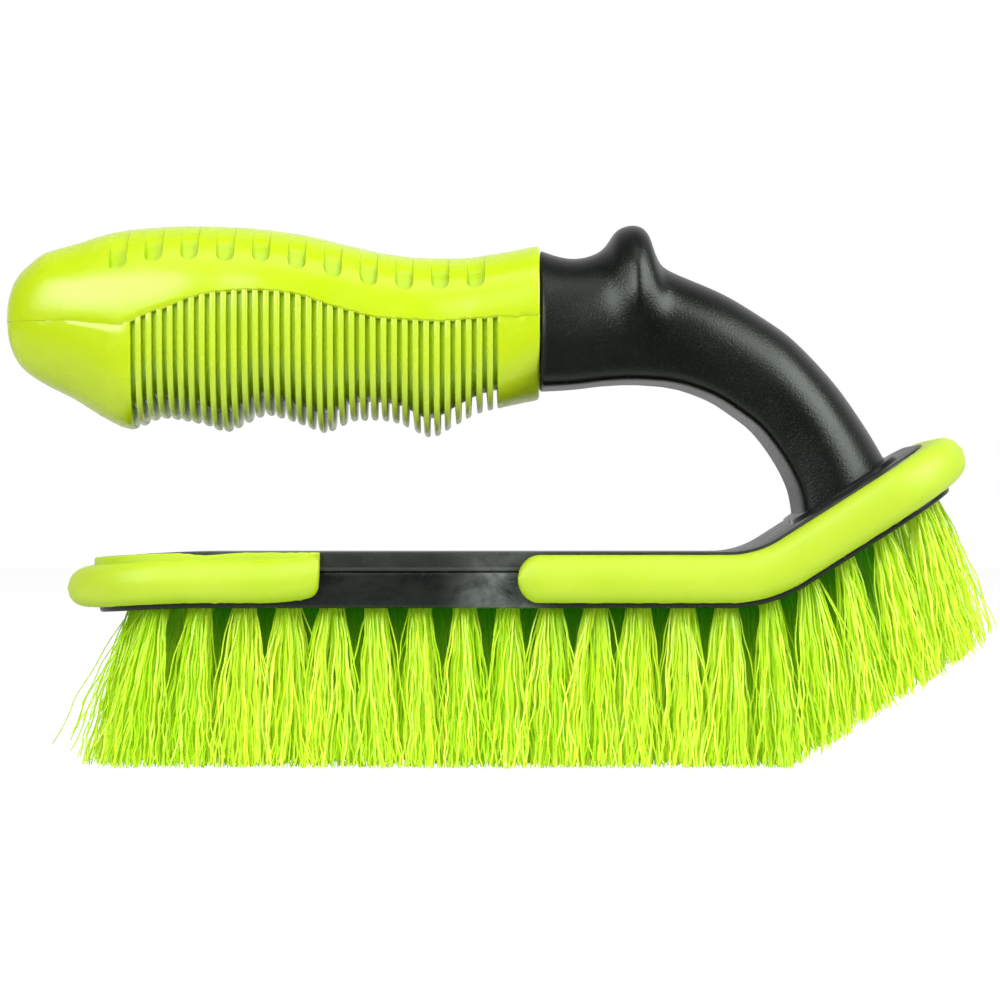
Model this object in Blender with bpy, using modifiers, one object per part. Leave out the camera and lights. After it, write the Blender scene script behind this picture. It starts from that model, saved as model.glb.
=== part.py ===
"""Car mat brush: a bent block of bristles under a hooked handle with a ribbed rubber grip.

Lengths are in metres, +Z is up, +X points to the raised nose and Y runs across the brush.
The origin is the middle of the brush's box, on the plane of the bristle tips.
The block is designed flat, in run (along), across and height, and is then bent up at the nose.
"""

import math

import bmesh
import bpy
from mathutils import Matrix, Vector

OBJECT_NAME = "car_mat_brush"

# Clearances
FIT_GAP = 0.0003
CUT_OVERRUN = 0.003
WELD_DISTANCE = 0.000001
FLAT_ANGLE = math.radians(0.5)

# Block, both halves together
BLOCK_REAR_X = -0.0854
BLOCK_FLAT_LENGTH = 0.1348
BLOCK_WIDTH = 0.056
BLOCK_THICKNESS = 0.0119
BLOCK_CORNER_RADIUS = 0.015
COVER_THICKNESS = 0.0040
BEND_RADIUS = 0.0195
BEND_ANGLE = math.radians(32.4)
NOSE_LENGTH = 0.0379
REAR_DROOP = 0.0011
REAR_DROOP_LENGTH = 0.022
DROOP_POWER = 1.5
TONGUE_HEIGHT = 0.0016
TONGUE_INSET = 0.004
CORNER_STEPS = 6
BEND_STEPS = 6
DROOP_STEPS = 3

# Bristles
BRISTLE_TRIM = 0.0338
BED_RIM = 0.003
SLICE_THICKNESS = 0.002
SLICE_GAP = 0.00035
TUFT_COLUMNS = 20
TUFT_PITCH = 0.00934
FIRST_TUFT_INSET = 0.0133
TUFT_EDGE_MARGIN = 0.003
CORNER_TUFT_DRAW_IN = 0.0018
NOSE_TUFT_DRAW_BACK = 0.0006
STRAND_ROOT_RADIUS = 0.00065
STRAND_TIP_RADIUS = 0.0018
STRAND_ROOT_RUN = 0.00095
STRAND_ROOT_ACROSS = 0.0012
TUFT_TIP_GAP_ALONG = 0.00114
TUFT_TIP_GAP_ACROSS = 0.002
STRAND_SINK = 0.0008
STRAND_SIDES = 3
STRAND_TURN = math.radians(47)
REAR_FAN = 0.0085
REAR_FAN_LENGTH = 0.040
NOSE_FAN = 0.0134
SIDE_SPLAY = 0.0028
TRIM_ANGLE = math.radians(35.8)
TRIM_BEND_SHIFT = 0.0055

# Rubber bumpers
BUMPER_HEIGHT = 0.0102
BUMPER_TOP_RIM = 0.0006
BUMPER_SIDE_PROUD = 0.004
BUMPER_END_PROUD = 0.0073
BUMPER_CORNER_RADIUS = 0.0215
BUMPER_ROUNDING = 0.0045
BUMPER_ROUNDING_STEPS = 3
REAR_BUMPER_LENGTH = 0.0482
FRONT_BUMPER_START = 0.0901
BUMPER_LIP_THICKNESS = 0.0012
BUMPER_LIP_DROP = 0.0004
BUMPER_END_ROUNDING = 0.0046
# Front end of the rear bumper: how far back it lies, in its rounded length, at shares of its height
REAR_BUMPER_NOSE_LENGTH = 0.0124
REAR_BUMPER_NOSE_SHARES = ((0.0, 1.0), (0.04, 0.58), (0.09, 0.31), (0.16, 0.19), (0.27, 0.05), (0.5, 0.0))

# Grip
GRIP_BUTT_X = -0.1070
GRIP_LENGTH = 0.1166
GRIP_DEPTH = 0.0466
GRIP_WIDTH = 0.034
HAND_GAP = 0.0248
GRIP_SQUARENESS = 2.3
GRIP_SIDES = 16
GRIP_TOP_SHARES = (
    (0.0, 0.565), (0.005, 0.674), (0.020, 0.764), (0.049, 0.835), (0.070, 0.873), (0.128, 0.916),
    (0.201, 0.970), (0.255, 0.989), (0.344, 1.0), (0.435, 0.994), (0.550, 0.961), (0.646, 0.906),
    (0.714, 0.869), (0.782, 0.850), (0.849, 0.848), (0.916, 0.869), (1.0, 0.908),
)
GRIP_BOTTOM_SHARES = (
    (0.0, 0.505), (0.002, 0.466), (0.011, 0.393), (0.027, 0.330), (0.059, 0.268), (0.128, 0.178),
    (0.182, 0.094), (0.233, 0.041), (0.291, 0.088), (0.367, 0.060), (0.410, 0.026), (0.485, 0.099),
    (0.556, 0.056), (0.596, 0.021), (0.654, 0.077), (0.682, 0.079), (0.735, 0.064), (0.795, 0.0),
    (0.852, 0.069), (0.889, 0.114), (0.926, 0.139), (1.0, 0.178),
)
GRIP_WIDTH_SHARES = (
    (0.0, 0.14), (0.005, 0.38), (0.020, 0.56), (0.049, 0.72), (0.128, 0.91), (0.25, 1.0),
    (0.45, 1.0), (0.65, 0.96), (0.85, 0.92), (1.0, 0.92),
)
GRIP_STATION_SHARES = (
    0.0, 0.005, 0.02, 0.049, 0.085, 0.128, 0.165, 0.201, 0.233, 0.262, 0.291, 0.33, 0.367, 0.41,
    0.447, 0.485, 0.52, 0.556, 0.596, 0.625, 0.668, 0.70, 0.735, 0.765, 0.795, 0.823, 0.852, 0.889,
    0.926, 1.0,
)

# Core of the handle, inside the grip
CORE_START_SHARE = 0.085
CORE_SIDES = 12
SLEEVE_SIDE_WALL = 0.0042
SLEEVE_TOP_WALL = 0.0042
SLEEVE_BOTTOM_WALL = 0.0072

# Fins under the hand and pockets along the top of the grip
FIN_GAP = 0.0011
FIN_PITCH = 0.0023
FIN_GAP_COUNT = 35
FIRST_FIN_GAP = 0.0288
FIN_SIDE_DEPTH = 0.0020
FIN_BOTTOM_DEPTH = 0.0042
BAND_EDGE_SHARES = (
    (0.244, 0.530), (0.261, 0.554), (0.281, 0.577), (0.300, 0.590), (0.350, 0.640), (0.400, 0.670),
    (0.473, 0.680), (0.548, 0.663), (0.597, 0.622), (0.647, 0.584), (0.696, 0.554), (0.745, 0.545),
    (0.816, 0.536), (0.889, 0.549), (0.992, 0.558),
)
POCKET_COUNT = 11
POCKET_PITCH = 0.00775
FIRST_POCKET = 0.0253
POCKET_WIDTH = 0.004
POCKET_LENGTH = 0.0080
POCKET_DEPTH = 0.0015
POCKET_END_STEPS = 3
POCKET_ANGLE = math.radians(50)

# Neck, with the thumb rest; a station is (outer reach, outer rise, inner reach, inner rise, width, ridge)
NECK_WIDTH = 0.034
THUMB_REST_PROUD = 0.0003
THUMB_RIDGE = 0.0022
THUMB_RIDGE_START_SHARE = 0.45
THUMB_RIDGE_FULL_SWELL = 0.25
NECK_OUTER_SQUARENESS = 2.2
NECK_INNER_SQUARENESS = 3.6
NECK_STATION_SHARES = (
    (0.0, 0.922, 0.0, 0.4945, 0.88, 0.0), (0.0466, 0.904, 0.0634, 0.4975, 0.87, 0.0),
    (0.0963, 0.895, 0.1176, 0.5022, 0.87, 0.0), (0.1437, 0.904, 0.1713, 0.5104, 0.87, 0.04),
    (0.1833, 0.926, 0.2109, 0.5129, 0.87, 0.18), (0.2076, 0.968, 0.2382, 0.5149, 0.87, 0.5),
    (0.2279, 0.989, 0.2626, 0.5149, 0.87, 0.86), (0.2634, 1.0, 0.2879, 0.5149, 0.87, 1.0),
    (0.2931, 0.992, 0.3116, 0.5129, 0.87, 0.82), (0.3127, 0.968, 0.3359, 0.5112, 0.87, 0.45),
    (0.3239, 0.9286, 0.3591, 0.509, 0.87, 0.18), (0.3411, 0.8852, 0.385, 0.5038, 0.87, 0.05),
    (0.3678, 0.8588, 0.4112, 0.4981, 0.87, 0.0), (0.4695, 0.8151, 0.4753, 0.474, 0.88, 0.0),
    (0.5438, 0.7784, 0.5211, 0.4481, 0.88, 0.0), (0.6179, 0.7294, 0.5628, 0.4163, 0.89, 0.0),
    (0.6932, 0.6771, 0.6037, 0.3855, 0.9, 0.0), (0.7501, 0.6244, 0.6365, 0.3483, 0.91, 0.0),
    (0.8444, 0.517, 0.6785, 0.2872, 0.93, 0.0), (0.9067, 0.4216, 0.7142, 0.2182, 0.96, 0.0),
    (0.9529, 0.347, 0.7318, 0.1625, 0.98, 0.0),
)
FOOT_START = 0.0071
FOOT_LENGTH = 0.0235
FOOT_SINK = 0.0012
PLINTH_HEIGHT = 0.0010
PLINTH_MARGIN = 0.0016
PLINTH_CORNER_RADIUS = 0.007

# Finishes: base colour, roughness, metallic
BLACK_PLASTIC = ((0.020, 0.021, 0.020), 0.45, 0.0)
GRIP_RUBBER = ((0.60, 0.88, 0.02), 0.42, 0.0)
BUMPER_RUBBER = ((0.66, 0.90, 0.06), 0.40, 0.0)
BRISTLE_NYLON = ((0.46, 0.90, 0.01), 0.40, 0.0)
SHARP_EDGE_ANGLE = math.radians(38)

# Places that follow from the sizes above
DECK_Z = BRISTLE_TRIM + BLOCK_THICKNESS
UNDER_RADIUS = BEND_RADIUS + BLOCK_THICKNESS
BEND_START = BLOCK_REAR_X + BLOCK_FLAT_LENGTH
BEND_END = BEND_START + UNDER_RADIUS * BEND_ANGLE
NOSE_END = BEND_END + NOSE_LENGTH
GRIP_BOTTOM_Z = DECK_Z + HAND_GAP
GRIP_FRONT_X = GRIP_BUTT_X + GRIP_LENGTH
NECK_START_X = GRIP_FRONT_X + FIT_GAP
NECK_RISE = HAND_GAP + GRIP_DEPTH + THUMB_REST_PROUD
BUMPER_BOTTOM = -BUMPER_TOP_RIM - BUMPER_HEIGHT
TUFT_LINE_SPACING = (BLOCK_WIDTH / 2 - BED_RIM - TUFT_EDGE_MARGIN) / 2
STRAND_TIP_RUN = (TUFT_PITCH - TUFT_TIP_GAP_ALONG) / 2 - STRAND_TIP_RADIUS
STRAND_TIP_ACROSS = (TUFT_LINE_SPACING - TUFT_TIP_GAP_ACROSS) / 2 - STRAND_TIP_RADIUS


def clear_scene():
    """Remove every object that the scene starts with."""
    for item in list(bpy.data.objects):
        bpy.data.objects.remove(item, do_unlink=True)


def make_collection(name):
    """Add a collection to the scene."""
    collection = bpy.data.collections.new(name)
    bpy.context.scene.collection.children.link(collection)
    return collection


def make_material(name, finish):
    """A Principled material with the finish's colour, roughness and metallic value."""
    colour, roughness, metallic = finish
    material = bpy.data.materials.new(name)
    material.use_nodes = True
    material.diffuse_color = (*colour, 1.0)
    shader = material.node_tree.nodes["Principled BSDF"]
    shader.inputs["Base Color"].default_value = (*colour, 1.0)
    shader.inputs["Roughness"].default_value = roughness
    shader.inputs["Metallic"].default_value = metallic
    return material


def make_object(name, mesh, collection):
    """Link a mesh as an object."""
    item = bpy.data.objects.new(name, mesh)
    collection.objects.link(item)
    return item


def bake(item):
    """Apply an object's modifiers to its mesh."""
    bpy.context.view_layer.update()
    depsgraph = bpy.context.evaluated_depsgraph_get()
    mesh = bpy.data.meshes.new_from_object(item.evaluated_get(depsgraph))
    item.modifiers.clear()
    item.data = mesh


def combine(target, other, operation):
    """Cut, join or intersect the target with another object, which is used up."""
    step = target.modifiers.new(operation.lower(), "BOOLEAN")
    step.operation = operation
    step.solver = "EXACT"
    step.object = other
    bake(target)
    bpy.data.objects.remove(other, do_unlink=True)


def finish_part(item, name, material):
    """Name a finished piece, give it its material and shade it."""
    item.name = name
    item.data.name = name
    item.data.materials.clear()
    item.data.materials.append(material)
    item.data.shade_smooth()
    item.data.set_sharp_from_angle(angle=SHARP_EDGE_ANGLE)


def copy_of(item):
    """A second object with its own copy of the mesh."""
    twin = item.copy()
    twin.data = item.data.copy()
    item.users_collection[0].objects.link(twin)
    return twin


def curve_value(shares, place):
    """Read a smooth curve through (place, value) pairs that never overshoots them."""
    steps = [(after[1] - before[1]) / (after[0] - before[0]) for before, after in zip(shares, shares[1:])]
    slopes = [steps[0]]
    for left, right in zip(steps, steps[1:]):
        slopes.append(2 * left * right / (left + right) if left * right > 0 else 0.0)
    slopes.append(steps[-1])
    place = min(max(place, shares[0][0]), shares[-1][0])
    index = max(i for i in range(len(steps)) if shares[i][0] <= place)
    span = shares[index + 1][0] - shares[index][0]
    t = (place - shares[index][0]) / span
    start, end = shares[index][1], shares[index + 1][1]
    rise = (end - start) * (3 - 2 * t) * t * t
    lean = span * t * (1 - t) * ((1 - t) * slopes[index] - t * slopes[index + 1])
    return start + rise + lean


def rounded_rectangle(low_run, high_run, width, radius):
    """Outline points of a rectangle with round corners, centred across the brush."""
    points = []
    half = width / 2 - radius
    centres = ((high_run - radius, half), (low_run + radius, half),
               (low_run + radius, -half), (high_run - radius, -half))
    for corner, (run, across) in enumerate(centres):
        for step in range(CORNER_STEPS + 1):
            angle = (corner + step / CORNER_STEPS) * math.pi / 2
            points.append((run + radius * math.cos(angle), across + radius * math.sin(angle)))
    return points


def outline_solid(points, thickness, matrix, collection):
    """A flat outline made solid: a filled 2D curve with an extrude, turned into a closed mesh."""
    curve = bpy.data.curves.new("outline", "CURVE")
    curve.dimensions = "2D"
    curve.fill_mode = "BOTH"
    curve.extrude = thickness / 2
    spline = curve.splines.new("POLY")
    spline.points.add(len(points) - 1)
    for target, (x, y) in zip(spline.points, points):
        target.co = (x, y, 0, 1)
    spline.use_cyclic_u = True
    guide = make_object("outline", curve, collection)
    bpy.context.view_layer.update()
    depsgraph = bpy.context.evaluated_depsgraph_get()
    mesh = bpy.data.meshes.new_from_object(guide.evaluated_get(depsgraph))
    bpy.data.objects.remove(guide, do_unlink=True)
    bpy.data.curves.remove(curve)
    mesh.transform(matrix)
    bm = bmesh.new()
    bm.from_mesh(mesh)
    bmesh.ops.remove_doubles(bm, verts=bm.verts, dist=WELD_DISTANCE)
    bmesh.ops.dissolve_limit(bm, angle_limit=FLAT_ANGLE, verts=bm.verts, edges=bm.edges)
    bmesh.ops.recalc_face_normals(bm, faces=bm.faces)
    bm.to_mesh(mesh)
    bm.free()
    return make_object("solid", mesh, collection)


def slab(points, low, high, collection):
    """A plan outline made solid between two heights of the flat block."""
    return outline_solid(points, high - low, Matrix.Translation((0, 0, (low + high) / 2)), collection)


def side_solid(points, width, collection):
    """An outline of (run, height) points made solid across the flat block."""
    return outline_solid(points, width, Matrix.Rotation(math.pi / 2, 4, "X"), collection)


def block_outline(inset):
    """Plan outline of the flat block, moved inwards by an inset."""
    return rounded_rectangle(BLOCK_REAR_X + inset, NOSE_END - inset, BLOCK_WIDTH - 2 * inset,
                             BLOCK_CORNER_RADIUS - inset)


def deck_point(run, across, height):
    """Place a point of the flat block on the bent block; height is measured up from the deck."""
    angle = min(max((run - BEND_START) / UNDER_RADIUS, 0.0), BEND_ANGLE)
    radius = BEND_RADIUS - height
    past = max(0.0, run - BEND_END)
    x = min(run, BEND_START) + radius * math.sin(angle) + past * math.cos(angle)
    z = DECK_Z + BEND_RADIUS - radius * math.cos(angle) + past * math.sin(angle)
    droop_share = (BLOCK_REAR_X + REAR_DROOP_LENGTH - run) / REAR_DROOP_LENGTH
    if droop_share > 0:
        z -= REAR_DROOP * droop_share ** DROOP_POWER
    return Vector((x, across, z))


def bend_up(item):
    """Cut a flat piece at the stations of the bend and move its points onto the bent block."""
    stations = [BEND_START + (BEND_END - BEND_START) * step / BEND_STEPS for step in range(BEND_STEPS + 1)]
    stations += [BLOCK_REAR_X + REAR_DROOP_LENGTH * step / DROOP_STEPS for step in range(DROOP_STEPS + 1)]
    bm = bmesh.new()
    bm.from_mesh(item.data)
    for station in stations:
        bmesh.ops.bisect_plane(bm, geom=bm.verts[:] + bm.edges[:] + bm.faces[:], dist=WELD_DISTANCE,
                               plane_co=(station, 0, 0), plane_no=(1, 0, 0))
    for vert in bm.verts:
        vert.co = deck_point(*vert.co)
    bmesh.ops.triangulate(bm, faces=bm.faces)
    bm.to_mesh(item.data)
    bm.free()


def loft(rings, collection):
    """A closed solid through rings of equal point counts."""
    bm = bmesh.new()
    loops = [[bm.verts.new(point) for point in ring] for ring in rings]
    count = len(loops[0])
    for before, after in zip(loops, loops[1:]):
        for side in range(count):
            follow = (side + 1) % count
            bm.faces.new((before[side], before[follow], after[follow], after[side]))
    bm.faces.new(loops[0])
    bm.faces.new(loops[-1])
    bmesh.ops.recalc_face_normals(bm, faces=bm.faces)
    mesh = bpy.data.meshes.new("loft")
    bm.to_mesh(mesh)
    bm.free()
    return make_object("loft", mesh, collection)


def signed_power(value, power):
    """Raise the size of a number to a power and keep its sign."""
    return math.copysign(abs(value) ** power, value)


def grip_point(share, angle, side_inset, top_inset, bottom_inset):
    """A point of the grip's oval section at a share of its length, with its walls moved inwards."""
    top = GRIP_BOTTOM_Z + GRIP_DEPTH * curve_value(GRIP_TOP_SHARES, share) - top_inset
    bottom = GRIP_BOTTOM_Z + GRIP_DEPTH * curve_value(GRIP_BOTTOM_SHARES, share) + bottom_inset
    half_width = GRIP_WIDTH * curve_value(GRIP_WIDTH_SHARES, share) / 2 - side_inset
    across = half_width * signed_power(math.cos(angle), 2 / GRIP_SQUARENESS)
    rise = (top - bottom) / 2 * signed_power(math.sin(angle), 2 / GRIP_SQUARENESS)
    return Vector((GRIP_BUTT_X + GRIP_LENGTH * share, across, (top + bottom) / 2 + rise))


def grip_ring(share, sides, side_inset, top_inset, bottom_inset):
    """A whole section of the grip."""
    angles = [2 * math.pi * side / sides for side in range(sides)]
    return [grip_point(share, angle, side_inset, top_inset, bottom_inset) for angle in angles]


def core_rings(growth):
    """Sections of the handle core, or with a growth of the hollow that it fits."""
    insets = (SLEEVE_SIDE_WALL - growth, SLEEVE_TOP_WALL - growth, SLEEVE_BOTTOM_WALL - growth)
    start = CORE_START_SHARE - growth / GRIP_LENGTH
    inner = [share for share in GRIP_STATION_SHARES if CORE_START_SHARE < share < 1.0]
    rings = [grip_ring(share, CORE_SIDES, *insets) for share in [start, *inner, 1.0]]
    overrun = Vector((CUT_OVERRUN, 0, 0))
    rings.append([point + overrun for point in rings[-1]])
    return rings


def make_fin_gaps(collection):
    """The thin gaps between the fins, as one cutter that stops at the floor of the fins."""
    bm = bmesh.new()
    for index in range(FIN_GAP_COUNT):
        centre = FIRST_FIN_GAP + index * FIN_PITCH
        low = GRIP_BOTTOM_Z - CUT_OVERRUN
        high = GRIP_BOTTOM_Z + GRIP_DEPTH * curve_value(BAND_EDGE_SHARES, centre / GRIP_LENGTH)
        place = Matrix.Translation((GRIP_BUTT_X + centre, 0, (low + high) / 2))
        size = Matrix.Diagonal((FIN_GAP, GRIP_WIDTH + CUT_OVERRUN, high - low, 1))
        bmesh.ops.create_cube(bm, size=1, matrix=place @ size)
    mesh = bpy.data.meshes.new("fin_gaps")
    bm.to_mesh(mesh)
    bm.free()
    gaps = make_object("fin_gaps", mesh, collection)
    floor_rings = [grip_ring(share, GRIP_SIDES, FIN_SIDE_DEPTH, FIN_SIDE_DEPTH, FIN_BOTTOM_DEPTH)
                   for share in GRIP_STATION_SHARES if share > CORE_START_SHARE]
    combine(gaps, loft(floor_rings, collection), "DIFFERENCE")
    return gaps


def pocket_outline():
    """A slot with two round ends, along the second axis."""
    radius = POCKET_WIDTH / 2
    straight = POCKET_LENGTH / 2 - radius
    points = []
    for end in (0, 1):
        for step in range(POCKET_END_STEPS + 1):
            angle = math.pi * (end + step / POCKET_END_STEPS)
            middle = straight if end == 0 else -straight
            points.append((radius * math.cos(angle), middle + radius * math.sin(angle)))
    return points


def make_pocket(index, side, collection):
    """One pocket cutter, laid square to the skin of the grip."""
    share = (FIRST_POCKET + index * POCKET_PITCH) / GRIP_LENGTH
    reach = POCKET_WIDTH / GRIP_LENGTH
    turn = POCKET_WIDTH / GRIP_WIDTH
    centre = grip_point(share, POCKET_ANGLE, 0, 0, 0)
    along = (grip_point(share + reach, POCKET_ANGLE, 0, 0, 0)
             - grip_point(share - reach, POCKET_ANGLE, 0, 0, 0))
    over = (grip_point(share, POCKET_ANGLE + turn, 0, 0, 0)
            - grip_point(share, POCKET_ANGLE - turn, 0, 0, 0))
    along.normalize()
    out = along.cross(over).normalized()
    out = out if out.y > 0 else -out
    over = out.cross(along)
    frame = Matrix((along, over, out)).transposed().to_4x4()
    middle = centre + out * (CUT_OVERRUN - POCKET_DEPTH)
    matrix = Matrix.Translation(middle) @ frame
    if side < 0:
        matrix = Matrix.Scale(-1, 4, (0, 1, 0)) @ matrix
    return outline_solid(pocket_outline(), 2 * CUT_OVERRUN, matrix, collection)


def make_grip_sleeve(parts, cutters, material):
    """The rubber grip: hollow for the core, with fins under the hand and pockets along the top."""
    sleeve = loft([grip_ring(share, GRIP_SIDES, 0, 0, 0) for share in GRIP_STATION_SHARES], parts)
    combine(sleeve, loft(core_rings(FIT_GAP), cutters), "DIFFERENCE")
    combine(sleeve, make_fin_gaps(cutters), "DIFFERENCE")
    for index in range(POCKET_COUNT):
        for side in (-1, 1):
            combine(sleeve, make_pocket(index, side, cutters), "DIFFERENCE")
    finish_part(sleeve, "grip_sleeve", material)


def neck_ring(outer, inner, width, ridge):
    """A section of the neck between its outer and inner edges, flatter on the inner side."""
    points = []
    for side in range(GRIP_SIDES):
        angle = 2 * math.pi * side / GRIP_SIDES
        level = math.sin(angle)
        power = 2 / (NECK_OUTER_SQUARENESS if level > 0 else NECK_INNER_SQUARENESS)
        height_share = (1 + signed_power(level, power)) / 2
        across = width / 2 * signed_power(math.cos(angle), power)
        swell = max(0.0, height_share - THUMB_RIDGE_START_SHARE) * (1 - height_share) / THUMB_RIDGE_FULL_SWELL
        across += math.copysign(ridge * swell, across) if across else 0.0
        points.append(inner.lerp(outer, height_share) + Vector((0, across, 0)))
    return points


def make_neck(collection):
    """The curved neck, from the front of the grip down into the nose of the block."""
    foot_back = deck_point(BEND_END + FOOT_START, 0, -FOOT_SINK)
    foot_front = deck_point(BEND_END + FOOT_START + FOOT_LENGTH, 0, -FOOT_SINK)
    reach = foot_front.x - NECK_START_X
    rings = []
    for outer_x, outer_z, inner_x, inner_z, width, ridge in NECK_STATION_SHARES:
        outer = Vector((NECK_START_X + reach * outer_x, 0, DECK_Z + NECK_RISE * outer_z))
        inner = Vector((NECK_START_X + reach * inner_x, 0, DECK_Z + NECK_RISE * inner_z))
        rings.append(neck_ring(outer, inner, NECK_WIDTH * width, THUMB_RIDGE * ridge))
    rings.append(neck_ring(foot_front, foot_back, NECK_WIDTH, 0))
    return loft(rings, collection)


def make_handle_frame(parts, cutters, material):
    """The black moulding: upper half of the block, plinth, neck, thumb rest and core of the grip."""
    frame = slab(block_outline(0), -COVER_THICKNESS, 0, parts)
    recess = slab(block_outline(TONGUE_INSET), -COVER_THICKNESS - CUT_OVERRUN,
                  TONGUE_HEIGHT - COVER_THICKNESS, cutters)
    combine(frame, recess, "DIFFERENCE")
    foot_start = BEND_END + FOOT_START
    plinth = slab(rounded_rectangle(foot_start - PLINTH_MARGIN, foot_start + FOOT_LENGTH + PLINTH_MARGIN,
                                    NECK_WIDTH + 2 * PLINTH_MARGIN, PLINTH_CORNER_RADIUS),
                  -FOOT_SINK, PLINTH_HEIGHT, cutters)
    combine(frame, plinth, "UNION")
    bend_up(frame)
    combine(frame, make_neck(cutters), "UNION")
    combine(frame, loft(core_rings(0), cutters), "UNION")
    finish_part(frame, "handle_frame", material)


def make_bristle_plate(parts, cutters, material):
    """The lower half of the block: a tongue on top and a bed for the bristle backing below."""
    top = -COVER_THICKNESS - FIT_GAP
    plate = slab(block_outline(0), -BLOCK_THICKNESS, top, parts)
    tongue = slab(block_outline(TONGUE_INSET + FIT_GAP), top - FIT_GAP, top + TONGUE_HEIGHT, cutters)
    combine(plate, tongue, "UNION")
    bed = slab(block_outline(BED_RIM), -BLOCK_THICKNESS - CUT_OVERRUN,
               SLICE_THICKNESS + FIT_GAP - BLOCK_THICKNESS, cutters)
    combine(plate, bed, "DIFFERENCE")
    bend_up(plate)
    finish_part(plate, "bristle_plate", material)


def make_bumper_blank(collection):
    """The outer body of both bumpers: a loop with a D section, solid over the block."""
    blank = slab(rounded_rectangle(BLOCK_REAR_X - BUMPER_END_PROUD, NOSE_END + BUMPER_END_PROUD,
                                   BLOCK_WIDTH + 2 * BUMPER_SIDE_PROUD, BUMPER_CORNER_RADIUS),
                 BUMPER_BOTTOM, -BUMPER_TOP_RIM, collection)
    rounding = blank.modifiers.new("rounding", "BEVEL")
    rounding.width = BUMPER_ROUNDING
    rounding.segments = BUMPER_ROUNDING_STEPS
    rounding.limit_method = "ANGLE"
    rounding.angle_limit = math.pi / 3
    bake(blank)
    return blank


def rear_bumper_outline():
    """Side outline of the space that the rear bumper keeps, with its swept front end."""
    front = BLOCK_REAR_X + REAR_BUMPER_LENGTH
    back = BLOCK_REAR_X - BUMPER_END_PROUD - CUT_OVERRUN
    points = [(back, CUT_OVERRUN), (back, BUMPER_BOTTOM - CUT_OVERRUN)]
    points.append((front - REAR_BUMPER_NOSE_LENGTH, BUMPER_BOTTOM - CUT_OVERRUN))
    for height_share, back_share in REAR_BUMPER_NOSE_SHARES:
        points.append((front - REAR_BUMPER_NOSE_LENGTH * back_share,
                       BUMPER_BOTTOM + BUMPER_HEIGHT * height_share))
    points.append((front, CUT_OVERRUN))
    return points


def front_bumper_outline():
    """Side outline of the space that the front bumper keeps, with its round rear end."""
    start = BLOCK_REAR_X + FRONT_BUMPER_START
    end = NOSE_END + BUMPER_END_PROUD + CUT_OVERRUN
    middle = BUMPER_BOTTOM + BUMPER_HEIGHT / 2
    radius = BUMPER_HEIGHT / 2
    points = [(end, middle - radius - CUT_OVERRUN), (end, middle + radius + CUT_OVERRUN)]
    points.append((start + BUMPER_END_ROUNDING, middle + radius + CUT_OVERRUN))
    for step in range(2 * CORNER_STEPS + 1):
        angle = math.pi * (1 + step / CORNER_STEPS) / 2
        points.append((start + BUMPER_END_ROUNDING * (1 + math.cos(angle)),
                       middle + radius * math.sin(angle)))
    points.append((start + BUMPER_END_ROUNDING, middle - radius - CUT_OVERRUN))
    return points


def make_bumpers(parts, cutters, material):
    """The two rubber bumpers round the ends of the block."""
    cut_width = BLOCK_WIDTH + 2 * BUMPER_SIDE_PROUD + CUT_OVERRUN
    rear = make_bumper_blank(parts)
    front = copy_of(rear)
    lip = slab(block_outline(-BUMPER_LIP_THICKNESS), BUMPER_BOTTOM + BUMPER_HEIGHT / 2, -BUMPER_LIP_DROP,
               cutters)
    combine(rear, lip, "UNION")
    outlines = {"rear_bumper": rear_bumper_outline(), "front_bumper": front_bumper_outline()}
    for item, (name, outline) in zip((rear, front), outlines.items()):
        hollow = slab(block_outline(-FIT_GAP), BUMPER_BOTTOM - CUT_OVERRUN, CUT_OVERRUN, cutters)
        combine(item, hollow, "DIFFERENCE")
        combine(item, side_solid(outline, cut_width, cutters), "INTERSECT")
        bend_up(item)
        finish_part(item, name, material)


def trim_point(path, across):
    """A point of the trimmed bristle ends: level first, then sloping up under the nose."""
    corner = BEND_START + UNDER_RADIUS * math.tan(BEND_ANGLE / 2) + TRIM_BEND_SHIFT
    past = max(0.0, path - corner)
    return Vector((min(path, corner) + past * math.cos(TRIM_ANGLE), across, past * math.sin(TRIM_ANGLE)))


def last_tuft_run():
    """Run of the foremost tufts."""
    last_run = BLOCK_REAR_X + FIRST_TUFT_INSET + (TUFT_COLUMNS - 1 - 1 / 2) * TUFT_PITCH
    return last_run - NOSE_TUFT_DRAW_BACK


def tip_run(run):
    """Where a root's strands end along the trimmed surface, fanned out at both ends."""
    rear_share = max(0.0, 1 - (run - BLOCK_REAR_X - FIRST_TUFT_INSET + TUFT_PITCH / 2) / REAR_FAN_LENGTH)
    nose_share = min(max((run - BEND_START) / (last_tuft_run() - BEND_START), 0.0), 1.0)
    return run - REAR_FAN * rear_share ** 2 + NOSE_FAN * (1 - (1 - nose_share) ** 2)


def tip_across(across):
    """Strands splay out to the sides in step with their distance from the middle."""
    return across * (1 + SIDE_SPLAY / (2 * TUFT_LINE_SPACING))


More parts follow.
